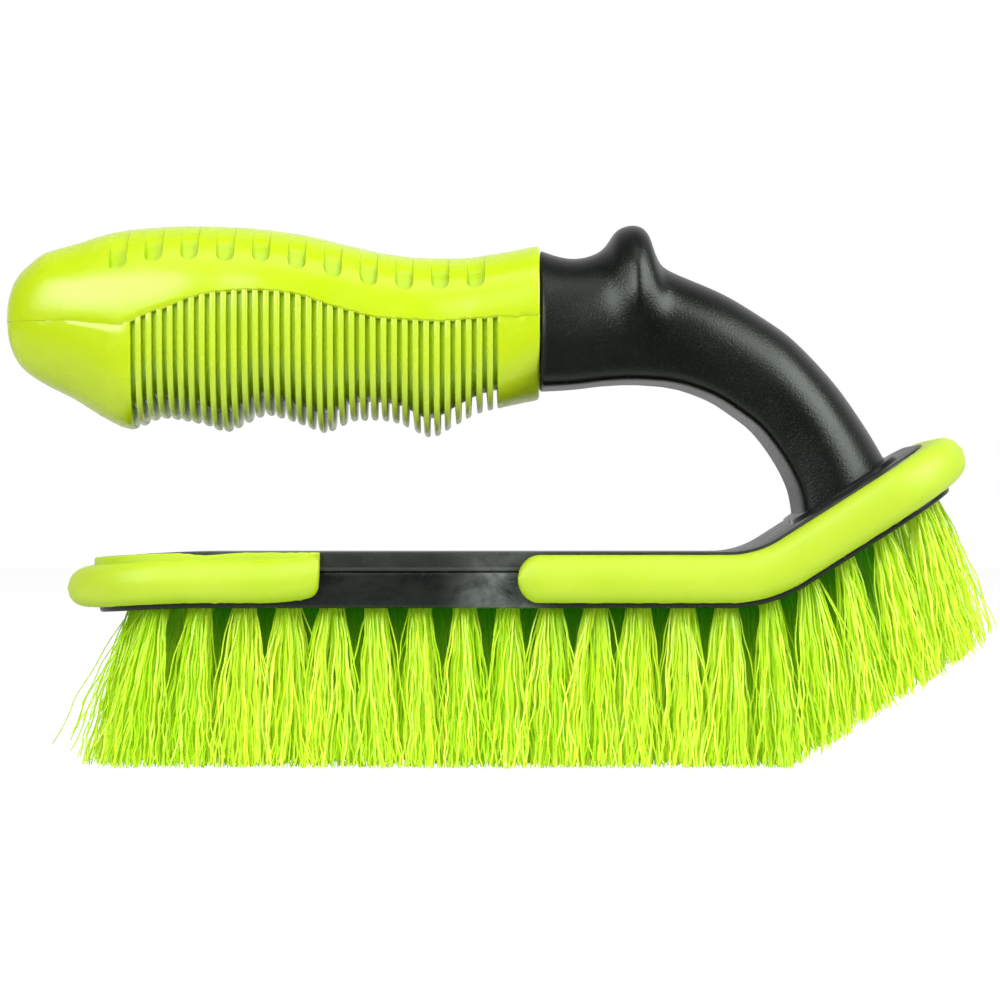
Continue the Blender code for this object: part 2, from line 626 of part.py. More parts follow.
def add_strand(bm, run, across, run_sign, across_sign, side, turn):
    """One three-sided strand of a tuft, from inside its backing to its cut end, mirrored by its side."""
    strand = bmesh.ops.create_cone(bm, cap_ends=True, segments=STRAND_SIDES, radius1=STRAND_ROOT_RADIUS,
                                   radius2=STRAND_TIP_RADIUS, depth=BRISTLE_TRIM)
    for index, vert in enumerate(strand["verts"]):
        # The cone's points alternate between its root ring and its tip ring
        angle = turn + 2 * math.pi * (index // 2) / STRAND_SIDES
        if vert.co.z < 0:
            root_run = run + run_sign * STRAND_ROOT_RUN + STRAND_ROOT_RADIUS * math.cos(angle)
            root_across = across + across_sign * STRAND_ROOT_ACROSS + STRAND_ROOT_RADIUS * math.sin(angle)
            vert.co = deck_point(root_run, side * root_across, STRAND_SINK - BLOCK_THICKNESS)
        else:
            end_run = tip_run(run) + run_sign * STRAND_TIP_RUN + STRAND_TIP_RADIUS * math.cos(angle)
            end_across = (tip_across(across) + across_sign * STRAND_TIP_ACROSS
                          + STRAND_TIP_RADIUS * math.sin(angle))
            vert.co = trim_point(end_run, side * end_across)


def tuft_places(column):
    """Roots of a row's tufts on one side: one between the lines, half a pitch back, and two on the column."""
    run = BLOCK_REAR_X + FIRST_TUFT_INSET + column * TUFT_PITCH
    places = [(min(run - TUFT_PITCH / 2, last_tuft_run()), TUFT_LINE_SPACING)]
    if column < TUFT_COLUMNS - 1:
        draw_in = CORNER_TUFT_DRAW_IN if column == TUFT_COLUMNS - 2 else 0.0
        places += [(run, 0.0), (run, 2 * TUFT_LINE_SPACING - draw_in)]
    return places


def tuft_strands(column):
    """Every strand of a row on one side, as its tuft's run and across and its place in the tuft."""
    return [(run, across, run_sign, across_sign) for run, across in tuft_places(column)
            for run_sign in (-1, 1) for across_sign in (-1, 1) if across > 0 or across_sign > 0]


def make_slice(column, collection):
    """The slice of backing under one row of tufts, bent with the block."""
    middle = BLOCK_REAR_X + FIRST_TUFT_INSET + column * TUFT_PITCH - TUFT_PITCH / 4
    low = middle - (TUFT_PITCH - SLICE_GAP) / 2
    high = middle + (TUFT_PITCH - SLICE_GAP) / 2
    if column == 0:
        low = BLOCK_REAR_X - CUT_OVERRUN
    if column == TUFT_COLUMNS - 1:
        high = NOSE_END + CUT_OVERRUN
    half = BLOCK_WIDTH / 2
    slice_part = slab([(low, -half), (high, -half), (high, half), (low, half)],
                      -BLOCK_THICKNESS, SLICE_THICKNESS - BLOCK_THICKNESS, collection)
    bed = slab(block_outline(BED_RIM + FIT_GAP), -BLOCK_THICKNESS - CUT_OVERRUN, 0, collection)
    combine(slice_part, bed, "INTERSECT")
    bend_up(slice_part)
    return slice_part


def make_tuft_row(column, parts, cutters, material):
    """One row of tufts across the block, its strands fused to their slice of backing."""
    row = make_slice(column, parts)
    bm = bmesh.new()
    for index, place in enumerate(tuft_strands(column)):
        for side in (-1, 1):
            add_strand(bm, *place, side, (column + index) * STRAND_TURN)
    bmesh.ops.recalc_face_normals(bm, faces=bm.faces)
    mesh = bpy.data.meshes.new("strands")
    bm.to_mesh(mesh)
    bm.free()
    combine(row, make_object("strands", mesh, cutters), "UNION")
    finish_part(row, f"tuft_row_{column + 1:02d}", material)


def main():
    """Build the brush."""
    clear_scene()
    parts = make_collection(OBJECT_NAME)
    cutters = make_collection("cutters")
    black = make_material("black_plastic", BLACK_PLASTIC)
    grip = make_material("grip_rubber", GRIP_RUBBER)
    bumper = make_material("bumper_rubber", BUMPER_RUBBER)
    nylon = make_material("bristle_nylon", BRISTLE_NYLON)
    make_handle_frame(parts, cutters, black)
    make_bristle_plate(parts, cutters, black)
    make_grip_sleeve(parts, cutters, grip)
    make_bumpers(parts, cutters, bumper)
    for column in range(TUFT_COLUMNS):
        make_tuft_row(column, parts, cutters, nylon)


main()
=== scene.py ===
import math

import bmesh
import bpy
import numpy as np
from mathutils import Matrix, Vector


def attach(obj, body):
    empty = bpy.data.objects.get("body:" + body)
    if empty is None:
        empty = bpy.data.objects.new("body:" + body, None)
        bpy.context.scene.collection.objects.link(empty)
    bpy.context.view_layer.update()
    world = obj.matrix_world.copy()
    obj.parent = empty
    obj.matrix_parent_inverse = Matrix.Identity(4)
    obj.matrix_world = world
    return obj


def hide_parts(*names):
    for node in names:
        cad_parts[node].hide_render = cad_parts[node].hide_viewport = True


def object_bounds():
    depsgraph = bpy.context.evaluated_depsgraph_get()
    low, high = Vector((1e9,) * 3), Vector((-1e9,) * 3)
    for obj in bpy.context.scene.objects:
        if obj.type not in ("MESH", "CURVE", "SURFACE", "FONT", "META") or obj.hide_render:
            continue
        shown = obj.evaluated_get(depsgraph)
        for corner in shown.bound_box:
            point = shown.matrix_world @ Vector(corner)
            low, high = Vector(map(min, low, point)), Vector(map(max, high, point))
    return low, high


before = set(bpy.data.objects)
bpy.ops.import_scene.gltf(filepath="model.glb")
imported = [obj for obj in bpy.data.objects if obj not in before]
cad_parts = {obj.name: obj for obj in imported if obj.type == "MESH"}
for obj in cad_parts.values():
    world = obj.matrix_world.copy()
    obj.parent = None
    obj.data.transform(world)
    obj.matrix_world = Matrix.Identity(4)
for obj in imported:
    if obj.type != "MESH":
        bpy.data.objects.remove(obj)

# The looks of the brush. Lengths are in metres, in the part's own frame: +Z up, +X to the raised nose.
# The block is designed flat, in run (along), across and height, and is then bent up at the nose.

cad_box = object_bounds()
SEED = 7
WOBBLE_OCTAVES = 4
WOBBLE_PITCH = 1.87
WOBBLE_FADE = 0.68
WOBBLE_GAIN = 1.6

# Block
BLOCK_REAR_X = -0.0854
BLOCK_FLAT_LENGTH = 0.1348
BLOCK_WIDTH = 0.056
BLOCK_THICKNESS = 0.0119
BLOCK_CORNER_RADIUS = 0.015
BEND_RADIUS = 0.0195
BEND_ANGLE = math.radians(32.4)
NOSE_LENGTH = 0.0379
REAR_DROOP = 0.0011
REAR_DROOP_LENGTH = 0.022
DROOP_POWER = 1.5
# Height of the block's underside over the level trim of the bristles
BRISTLE_TRIM = 0.0338
OUTLINE_STEP = 0.0022
OUTLINE_CORNER_STEPS = 12
OUTLINE_END_STEPS = 5
FIT_GAP = 0.0003
DECK_NORMAL_Z = 0.8
# The pale patch on the sides of the block, beside the front bumper: a painted reflection on the glossy side
PAINTED_SHEEN_X = 0.0005
PAINTED_SHEEN_REACH = 0.0135
PAINTED_SHEEN_FAINT = 0.06
PAINTED_SHEEN_COLOUR = (0.165, 0.18, 0.172)

# Level, as an inset from the block's side and a height from the deck
COVER_LEVELS = (
    (0.00045, 0.0), (0.00020, -0.00006), (0.00006, -0.0002), (0.0, -0.00045), (0.0, -0.0032),
    (-0.00020, -0.0034), (-0.00032, -0.0037), (-0.00022, -0.0040), (0.0003, -0.0041),
)
PLATE_LEVELS = (
    (0.0003, -0.0043), (0.00012, -0.00438), (0.00005, -0.0046), (0.0, -0.0052), (0.0, -0.0111),
    (0.00008, -0.0115), (0.00028, -0.01178), (0.0006, -0.0119),
)

# Bumpers
BUMPER_TOP = -0.0006
BUMPER_HEIGHT = 0.0102
BUMPER_SIDE_PROUD = 0.004
BUMPER_END_PROUD = 0.0073
BUMPER_CORNER_RADIUS = 0.0215
BUMPER_SQUARENESS = 2.5
BUMPER_PROFILE_STEPS = 22
REAR_BUMPER_LENGTH = 0.0482
FRONT_BUMPER_START = 0.0901
# How far the underside has come up at the front end of the rear bumper, by the distance back from there
NOSE_SWEEP_SHARES = (
    (0.0, 1.0), (0.012, 0.45), (0.032, 0.28), (0.09, 0.17), (0.185, 0.10), (0.48, 0.04), (0.79, 0.0),
)
NOSE_SWEEP_LENGTH = 0.0124
END_ROUNDING = 0.0046
# How full the section is at a bumper's end, and the distances over which it fills and the lip fades
REAR_END_FULLNESS = 0.80
REAR_END_FILL = 0.0012
LIP_FADE = 0.004
FRONT_END_FULLNESS = 0.72
# Stations along the straight side: close together at the end, then a count of even ones
REAR_END_OFFSETS = (
    0.0, 0.0001, 0.0003, 0.0006, 0.0010, 0.0016, 0.0023, 0.0031, 0.0040, 0.0050, 0.0062, 0.0075,
    0.0090, 0.0107, 0.0124,
)
REAR_SIDE_START = 0.0144
REAR_SIDE_COUNT = 17
FRONT_END_OFFSETS = (0.00002, 0.0001, 0.0003, 0.0006, 0.0010, 0.0015, 0.0021, 0.0028, 0.0036, 0.0046)
FRONT_SIDE_START = 0.0062
FRONT_SIDE_COUNT = 46
SIDE_TO_CORNER = 0.0012
BUMPER_CORNER_STEPS = 18
# How far a bumper's section reaches under the block's side, as a share of its width, and lies lower there
BUMPER_TUCK = 0.04
TUCK_DROP = 0.0001
LIP_PROUD = 0.0012
LIP_FLAT_SHARE = 0.75
LIP_ROUNDING = 0.0003
LIP_FOOT_SHARE = 1.02
LIP_TOP = -0.00008
LIP_DIP = 0.0006
LIP_DIP_X = -0.0612
LIP_DIP_LENGTH = 0.0045
REAR_BUMPER_TOP = -0.0016
SEAM_RIDGE = 0.00014
SEAM_MARGIN = 0.00002
EDGE_RAGGEDNESS = 0.00010
LIP_RAGGEDNESS = 0.5
TOP_EDGE_WAVES = 420
LOW_EDGE_WAVES = 380

# Grip
GRIP_BUTT_X = -0.1070
GRIP_LENGTH = 0.1166
GRIP_DEPTH = 0.0466
GRIP_WIDTH = 0.034
HAND_GAP = 0.0248
GRIP_SQUARENESS = 2.3
FIN_SQUARENESS = 3.1
# Edges of the grip and its band, as (share of the length, share of the depth), and widths likewise
GRIP_TOP_SHARES = (
    (0.0, 0.565), (0.005, 0.674), (0.020, 0.764), (0.049, 0.835), (0.070, 0.873), (0.128, 0.916),
    (0.201, 0.970), (0.255, 0.989), (0.344, 1.0), (0.435, 0.994), (0.550, 0.961), (0.646, 0.906),
    (0.714, 0.869), (0.782, 0.850), (0.849, 0.848), (0.916, 0.869), (1.0, 0.908),
)
GRIP_BOTTOM_SHARES = (
    (0.0, 0.505), (0.002, 0.466), (0.011, 0.393), (0.027, 0.330), (0.059, 0.268), (0.128, 0.178),
    (0.182, 0.094), (0.233, 0.041), (0.291, 0.088), (0.367, 0.060), (0.410, 0.026), (0.485, 0.099),
    (0.556, 0.056), (0.596, 0.021), (0.654, 0.077), (0.682, 0.079), (0.735, 0.064), (0.795, 0.0),
    (0.852, 0.069), (0.889, 0.114), (0.926, 0.139), (1.0, 0.178),
)
GRIP_WIDTH_SHARES = (
    (0.0, 0.14), (0.005, 0.38), (0.020, 0.54), (0.049, 0.67), (0.128, 0.84), (0.25, 0.96),
    (0.36, 1.0), (0.45, 1.0), (0.65, 0.96), (0.85, 0.92), (1.0, 0.92),
)
BAND_EDGE_SHARES = (
    (0.0, 0.540), (0.060, 0.538), (0.127, 0.532), (0.189, 0.514), (0.222, 0.514),
    (0.244, 0.530), (0.261, 0.554), (0.281, 0.577), (0.300, 0.590), (0.350, 0.640), (0.400, 0.670),
    (0.473, 0.680), (0.548, 0.663), (0.597, 0.622), (0.647, 0.584), (0.696, 0.554), (0.745, 0.545),
    (0.816, 0.536), (0.889, 0.549), (1.0, 0.558),
)
FIN_GAP = 0.0011
FIN_PITCH = 0.0023
FIN_GAP_COUNT = 35
FIRST_FIN_GAP = 0.0288
FIN_SIDE_DEPTH = 0.0014
FIN_BOTTOM_DEPTH = 0.0042
FIN_DRAFT = 0.00014
FIN_SECTION_SIDES = 120
FIN_EDGE_SIDE = 0.00013
FIN_EDGE_BOTTOM = 0.00035
FIN_LEAN = 0.00007
FIN_BOW = 0.00006
FIN_SAG = 0.00010
FIN_TRIM = 0.00010
FIN_BLEND_SHARE = 0.6
# Stations of a fin, as shares of its half thickness, and of the walls beside the first and last gap, as
# (distance from the gap, share of the rounding)
FIN_STATIONS = (-1.0, -0.9, -0.62, 0.0, 0.62, 0.9, 1.0)
WALL_STATIONS = ((0.0012, 0.0), (0.0004, 0.0), (0.0001, 0.25), (0.0, 1.0))
# Painted shade in the gaps as (at the sides, more at the bottom), on the fins' edges, and painted sheen on
# the fins and glint at their tips
GAP_SHADE = (0.10, 0.62)
FIN_EDGE_SHADE = 0.25
FIN_PAINTED_SHEEN = 0.06
TIP_PAINTED_GLINT = (0.35, 0.80)
BAND_PROUD = 0.00028
BUTT_STEP = 0.00016
# Stations of the rounded butt, as shares of the grip's length
BUTT_SHARES = (
    0.0, 0.0004, 0.0012, 0.0024, 0.004, 0.006, 0.0085, 0.0115, 0.015, 0.020, 0.026, 0.033, 0.041,
    0.050, 0.060, 0.071, 0.083, 0.096, 0.110, 0.125, 0.141, 0.158, 0.176, 0.195, 0.214,
)
# The rounded front edge of the collar, as distances from its end and insets there
COLLAR_BACKS = (0.0006, 0.0003, 0.0001, 0.0)
COLLAR_INSETS = (0.0, 0.00006, 0.00016, 0.0004)
COLLAR_LENGTH = 0.0105
COLLAR_RAGGEDNESS = 2.4
COLLAR_FIN_STATIONS = 8
COLLAR_BAND_STATIONS = 7
BAND_EDGE_WAVES = 300
BAND_OVERLAP_ANGLE = 0.05
EDGE_LEVEL_LIMIT = 0.98
INSET_LIMIT_SHARE = 0.8
STATION_STEP = 0.001
ROUNDING_ROOM = 0.000001
# The rounded lower edge of the band, which fades out on the flat end of the butt
BAND_EDGE_DEPTHS = np.array((0.00036, 0.00006))
BAND_EDGE_START = 0.003
BAND_THICKNESS = 0.0013
BAND_INNER_STEPS = 13
# How deep the fins' piece runs under the band, and how it closes the butt's end behind it
COVER_DEPTH = BAND_THICKNESS + 0.0002
END_COVER_DEPTH = 0.0006
END_COVER_LENGTH = 0.0015
END_STEP = 0.00008
END_STEP_LENGTH = 0.003
POCKET_COUNT = 11
POCKET_PITCH = 0.00775
FIRST_POCKET = 0.0253
POCKET_WIDTH = 0.004
POCKET_DEPTH = 0.0013
POCKET_WALL = 0.00022
# Painted shade on the floors of the pockets
POCKET_SHADE = 0.55
POCKET_FLOOR = 0.0043
POCKET_LIP = 0.0004
POCKET_LEAD = 0.0008
POCKET_FLOOR_OFFSETS = (0.0, 0.0006, 0.0012, 0.0016)
POCKET_TOP_ANGLE = math.radians(86)
# Lines of the band's section: from its edge to a pocket's rim, across the pocket's floor, and up its ramp
RIM_SHARES = np.array((0.0, 0.03, 0.09, 0.25, 0.45, 0.62, 0.76, 0.88, 1.0))
FLOOR_SHARES = np.array((0.0, 0.12, 0.3, 0.5, 0.7, 0.88, 1.0))
RAMP_SHARES = np.array((0.12, 0.35, 0.6, 0.8, 1.0))
FLOOR_LINES = slice(len(RIM_SHARES), len(RIM_SHARES) + len(FLOOR_SHARES))
RAMP_LINES = slice(FLOOR_LINES.stop, FLOOR_LINES.stop + len(RAMP_SHARES))
CREASE_DEPTH = 0.0009
# The lines of the pockets stay above the band's edge by these shares of the quarter section
LEAST_ANGLE_SHARES = (0.20, 0.21, 0.42)
RAMP_DEPTH = 0.00045
# How far the lower end of each pocket lies under the top of the grip
POCKET_END_DROPS = (
    0.0094, 0.00855, 0.0084, 0.0086, 0.0081, 0.0085, 0.00845, 0.0085, 0.0081, 0.0076, 0.0077,
)

# Neck; a station is (outer reach, outer rise, inner reach, inner rise, width)
NECK_WIDTH = 0.034
THUMB_REST_PROUD = 0.0003
RIDGE_PROUD = 0.0024
RIDGE_X = 0.0309
RIDGE_SPREAD = 0.0042
RIDGE_POWER = 1.8
RIDGE_FOOT_Z = 0.0905
RIDGE_FULL_Z = 0.1035
RIDGE_SIDE_REACH = 0.012
NECK_OUTER_SQUARENESS = 2.2
NECK_WIDEST_SHARE = 0.36
NECK_TAPER = 0.04
NECK_TAPER_END = 0.36
NECK_TAPER_POWER = 1.3
NECK_INNER_SQUARENESS = 9.0
NUB_FOOT_SHARE = 0.38
NECK_SMOOTHINGS = 12
NECK_FINE_STEPS = 40
# The rings that close the neck inside the collar, as how far ahead they lie and their inset
NECK_END_RINGS = ((-0.004, 0.0030), (0.0, 0.0030), (0.0, 0.0007), (0.0001, 0.00035), (0.0003, 0.00012))
# The neck's outer edge without the thumb rest, as (outer reach, outer rise)
NECK_BASE_EDGE = (
    (0.0, 0.922), (0.0466, 0.904), (0.0963, 0.895), (0.15, 0.893), (0.20, 0.889), (0.25, 0.881),
    (0.30, 0.870), (0.35, 0.857), (0.41, 0.839), (0.4695, 0.8151), (1.1, 0.3),
)
NECK_STATION_SHARES = (
    (0.0, 0.922, 0.0, 0.4945, 0.88), (0.0466, 0.904, 0.0634, 0.4975, 0.87),
    (0.0963, 0.895, 0.1176, 0.5022, 0.87), (0.1437, 0.904, 0.1713, 0.5104, 0.87),
    (0.1833, 0.926, 0.2109, 0.5129, 0.87), (0.2076, 0.968, 0.2382, 0.5149, 0.87),
    (0.2279, 0.989, 0.2626, 0.5149, 0.87), (0.2634, 1.0, 0.2879, 0.5149, 0.87),
    (0.2931, 0.992, 0.3116, 0.5129, 0.87), (0.3127, 0.968, 0.3359, 0.5112, 0.87),
    (0.3239, 0.9286, 0.3591, 0.509, 0.87), (0.3411, 0.8852, 0.385, 0.5038, 0.87),
    (0.3678, 0.8588, 0.4112, 0.4981, 0.87), (0.4695, 0.8151, 0.4753, 0.474, 0.88),
    (0.5438, 0.7784, 0.5211, 0.4481, 0.88), (0.6179, 0.7294, 0.5628, 0.4163, 0.89),
    (0.6932, 0.6771, 0.6037, 0.3855, 0.9), (0.7501, 0.6244, 0.6365, 0.3483, 0.91),
    (0.8444, 0.517, 0.6785, 0.2872, 0.93), (0.9067, 0.4216, 0.7142, 0.2182, 0.96),
    (0.9529, 0.347, 0.7318, 0.1625, 0.98),
)
NECK_SIDES = 150
NECK_STEPS_BETWEEN = 6
FOOT_START = 0.0071
FOOT_LENGTH = 0.0235
FOOT_SINK = 0.0012
PLINTH_HEIGHT = 0.0010
PLINTH_MARGIN = 0.0016
PLINTH_CORNER_RADIUS = 0.007
PLINTH_LEVELS = (
    (0.0009, PLINTH_HEIGHT), (0.0006, PLINTH_HEIGHT - 0.00006), (0.00035, PLINTH_HEIGHT - 0.0003),
    (0.0001, 0.0002), (-0.0002, -0.0001), (-0.0002, -0.0008),
)

# Bristles
TUFT_COLUMNS = 20
TUFT_PITCH = 0.00934
FIRST_TUFT_INSET = 0.0133
TUFT_LINE_SPACING = 0.011
CORNER_TUFT_DRAW_IN = 0.0018
NOSE_TUFT_DRAW_BACK = 0.0006
REAR_FAN = 0.0062
REAR_FAN_LENGTH = 0.040
NOSE_FAN = 0.0086
SIDE_SPLAY = 0.0028
TRIM_ANGLE = math.radians(32.6)
TRIM_BEND_SHIFT = 0.0035
FILAMENTS_IN_TUFT = 100
FILAMENT_RADIUS = 0.00019
FILAMENT_SEGMENTS = 16
FILAMENT_SIDES = 3
FILAMENT_SINK = 0.001
ROOT_RADIUS_RUN = 0.0024
ROOT_RADIUS_ACROSS = 0.0024
TIP_RADIUS_RUN = 0.0042
TIP_RADIUS_ACROSS = 0.0046
TIP_SIDE_LIMIT = 0.0031
FLARE_POWER = 0.88
LOCKS_IN_TUFT = 12
LOCK_DRAW_SHARE = 0.25
LOCK_LEAN = 0.0014
OWN_LEAN = 0.0021
STRAY_SHARE = 0.08
STRAY_GAIN = 2.2
END_STRAY = 0.0042
REAR_STRAY_PULL = -1.2
NOSE_STRAY_PULL = 0.7
STRAY_SHORTENING = 22
MEAN_LENGTH = 1.006
NOSE_LENGTH_GAIN = 0.02
LENGTH_SPREAD = 0.026
LOCK_CENTRE_LIMIT = 0.9
TIP_ROUNDING = 1.15
LEAN_LIMIT = 0.0076
REAR_LEAN_LIMIT = 0.0120
BOW = 0.0008
OWN_BOW_SHARE = 0.6
# Crimp: how far it swings, its waves along a filament, and the pace and phase of the waves across
CRIMP = 0.00030
LOCK_WAVES = (2.4, 4.4)
OWN_WAVES = 0.3
OWN_PHASE = 0.16
CROSS_WAVES = 0.83
CROSS_PHASE = 1.7
KINK = 0.00015
TIP_TAPER = 0.75
LOCK_TINT = 0.20
OWN_TINT = 0.22
OUTER_TUFT_ACROSS = 0.015
# Painted shade down among the tufts, as its strength at the root and the power with which it fades to the tip
INNER_SHADE = (1.0, 1.4)
OUTER_SHADE = (0.5, 8)
SECOND_ROW_SHADE = 0.75
NOSE_ROW_SHADE = 0.4
# How far the filaments stay inside the box of the solids, along, across and at the foot
BOX_MARGIN = (0.0004, 0.0003, 0.00002)

# Colours; dust and wear are paler than the block by these gains
BLACK_GLOSS_TINT = (0.90, 1.0, 0.91, 1.0)
GRAINED_COLOUR = (0.0012, 0.0014, 0.0012)
SPECK_COLOUR = (0.010, 0.011, 0.010)
DUST_GAIN = 3.2
WORN_GAIN = 2.2
# Painted shade: the green that the gaps and pockets darken to
RUBBER_PAINTED_SHADE_COLOUR = (0.41, 0.64, 0.0010)
# Painted sheen and glint: the paler colour of the fins and their tips
RUBBER_GLINT_COLOUR = (0.74, 0.82, 0.50)
NYLON_COLOUR = (0.64, 0.96, 0.03)
NYLON_GREENER = (0.44, 0.76, 0.008)
NYLON_PALER = (0.74, 0.90, 0.05)
# Painted shade: the dark green that the filaments turn to deep among the tufts
NYLON_PAINTED_SHADE_COLOUR = (0.008, 0.32, 0.003)
# Painted glow: the filaments emit their own colour, standing in for light that passes through them
NYLON_PAINTED_GLOW = 0.11

# Stage, lights and camera
FLOOR_HALF = 4.0
FLOOR_DROP = 0.0001
# The floor is dark towards the camera, between these places across
FLOOR_FADE = (-0.30, -0.08)
# Softboxes as (name, place, target, width, height, power)
SOFTBOXES = (
    ("softbox_left", (-0.57, -0.89, 0.60), (-0.03, 0, 0.08), 0.80, 0.62, 11.5),
    ("softbox_right", (0.80, -0.50, 0.69), (0.03, 0, 0.08), 0.80, 0.80, 14.0),
    ("softbox_top", (0.0, -0.50, 1.2), (0.0, 0.0, 0.07), 0.8, 0.5, 2.4),
)
CAMERA_HEIGHT = 0.050
CAMERA_DISTANCE = 0.75
CAMERA_X = -0.0033
CAMERA_SHIFT_X = 0.02
SENSOR_WIDTH = 36
PICTURE_MIDDLE_Z = 0.057
PICTURE_PIXELS = 1000
PIXEL_SIZE = 0.00022
PICTURE_WIDTH = PICTURE_PIXELS * PIXEL_SIZE

# Places that follow from the sizes above
DECK_Z = BRISTLE_TRIM + BLOCK_THICKNESS
UNDER_RADIUS = BEND_RADIUS + BLOCK_THICKNESS
BEND_START = BLOCK_REAR_X + BLOCK_FLAT_LENGTH
BEND_END = BEND_START + UNDER_RADIUS * BEND_ANGLE
NOSE_END = BEND_END + NOSE_LENGTH
FOOT_BACK_RUN = BEND_END + FOOT_START
FOOT_FRONT_RUN = FOOT_BACK_RUN + FOOT_LENGTH
GRIP_BOTTOM_Z = DECK_Z + HAND_GAP
GRIP_FRONT_X = GRIP_BUTT_X + GRIP_LENGTH
LAST_FIN_GAP = FIRST_FIN_GAP + (FIN_GAP_COUNT - 1) * FIN_PITCH
NECK_START_X = GRIP_FRONT_X + FIT_GAP
NECK_RISE = HAND_GAP + GRIP_DEPTH + THUMB_REST_PROUD
BUMPER_MIDDLE = BUMPER_TOP - BUMPER_HEIGHT / 2
BUMPER_BOTTOM = BUMPER_TOP - BUMPER_HEIGHT


# Helpers for shapes
def curve_value(shares, place):
    """Read a smooth curve through (place, value) pairs that never overshoots them."""
    steps = [(after[1] - before[1]) / (after[0] - before[0]) for before, after in zip(shares, shares[1:])]
    slopes = [steps[0]]
    for left, right in zip(steps, steps[1:]):
        slopes.append(2 * left * right / (left + right) if left * right > 0 else 0.0)
    slopes.append(steps[-1])
    place = min(max(place, shares[0][0]), shares[-1][0])
    index = max(i for i in range(len(steps)) if shares[i][0] <= place)
    span = shares[index + 1][0] - shares[index][0]
    t = (place - shares[index][0]) / span
    start, end = shares[index][1], shares[index + 1][1]
    rise = (end - start) * (3 - 2 * t) * t * t
    lean = span * t * (1 - t) * ((1 - t) * slopes[index] - t * slopes[index + 1])
    return start + rise + lean


def smooth_step(low, high, value):
    """Rise from 0 to 1 between two values, with level ends."""
    t = np.clip((value - low) / (high - low), 0.0, 1.0)
    return t * t * (3 - 2 * t)


def wobble(values, scale, seed):
    """A smooth, seeded wave without a period that shows, about -1 to 1; scale is in waves a metre."""
    generator = np.random.default_rng(seed)
    total = np.zeros_like(np.asarray(values, float))
    weights = 0.0
    for octave in range(WOBBLE_OCTAVES):
        frequency = scale * WOBBLE_PITCH ** octave
        weight = WOBBLE_FADE ** octave
        total += weight * np.sin(2 * math.pi * (np.asarray(values) * frequency + generator.random()))
        weights += weight
    return total / weights * WOBBLE_GAIN


def deck_points(run, across, height):
    """Place points of the flat block on the bent block; height is measured up from the deck."""
    run, across, height = np.broadcast_arrays(np.asarray(run, float), np.asarray(across, float),
                                              np.asarray(height, float))
    angle = np.clip((run - BEND_START) / UNDER_RADIUS, 0.0, BEND_ANGLE)
    radius = BEND_RADIUS - height
    past = np.maximum(0.0, run - BEND_END)
    x = np.minimum(run, BEND_START) + radius * np.sin(angle) + past * np.cos(angle)
    z = DECK_Z + BEND_RADIUS - radius * np.cos(angle) + past * np.sin(angle)
    droop_share = np.maximum(0.0, (BLOCK_REAR_X + REAR_DROOP_LENGTH - run) / REAR_DROOP_LENGTH)
    z = z - REAR_DROOP * droop_share ** DROOP_POWER
    return np.stack([x, across, z], axis=-1)


def make_piece(name, points, faces, material, replaced, sharp_degrees=40, weld=0.000002,
               layers=None):
    """A smooth-shaded closed mesh that rides on the body and stands for CAD nodes.

    Layers hold one number for each point, and go only with a weld of zero.
    """
    mesh = bpy.data.meshes.new(name)
    mesh.from_pydata([tuple(point) for point in points], [], faces)
    bm = bmesh.new()
    bm.from_mesh(mesh)
    if weld:
        bmesh.ops.remove_doubles(bm, verts=bm.verts, dist=weld)
    bmesh.ops.recalc_face_normals(bm, faces=bm.faces)
    bm.to_mesh(mesh)
    bm.free()
    for layer_name, values in (layers or {}).items():
        layer = mesh.attributes.new(layer_name, "FLOAT", "POINT")
        layer.data.foreach_set("value", np.asarray(values, np.float32))
    mesh.materials.append(material)
    mesh.shade_smooth()
    mesh.set_sharp_from_angle(angle=math.radians(sharp_degrees))
    piece = bpy.data.objects.new(name, mesh)
    bpy.context.scene.collection.objects.link(piece)
    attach(piece, "root")
    if replaced:
        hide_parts(*replaced)
    return piece


def ring_faces(ring_count, point_count, cap_start=True, cap_end=True):
    """Faces through rings of equal point counts."""
    faces = []
    for level in range(ring_count - 1):
        base = level * point_count
        for index in range(point_count):
            follow = (index + 1) % point_count
            faces.append((base + index, base + follow, base + point_count + follow,
                          base + point_count + index))
    if cap_start:
        faces.append(tuple(range(point_count)))
    if cap_end:
        faces.append(tuple(range((ring_count - 1) * point_count, ring_count * point_count)))
    return faces


def quarter_turn(steps):
    """Angles of a quarter turn, with both of its ends."""
    return [math.pi / 2 * step / steps for step in range(steps + 1)]


def block_outline(inset, rear=BLOCK_REAR_X, front=NOSE_END, width=BLOCK_WIDTH, radius=BLOCK_CORNER_RADIUS):
    """Half a plan outline from the middle of the rear to the middle of the front, on the +Y side."""
    radius = radius - inset
    low, high, half = rear + inset, front - inset, width / 2 - inset
    end_steps = range(OUTLINE_END_STEPS)
    points = [(low, (half - radius) * step / OUTLINE_END_STEPS) for step in end_steps]
    for angle in quarter_turn(OUTLINE_CORNER_STEPS):
        points.append((low + radius * (1 - math.cos(angle)), half - radius * (1 - math.sin(angle))))
    straight_steps = int((front - rear) / OUTLINE_STEP)
    for step in range(1, straight_steps):
        points.append((low + radius + (high - low - 2 * radius) * step / straight_steps, half))
    for angle in quarter_turn(OUTLINE_CORNER_STEPS):
        points.append((high - radius * (1 - math.sin(angle)), half - radius * (1 - math.cos(angle))))
    points += [(high, (half - radius) * step / OUTLINE_END_STEPS) for step in reversed(end_steps)]
    return np.array(points)


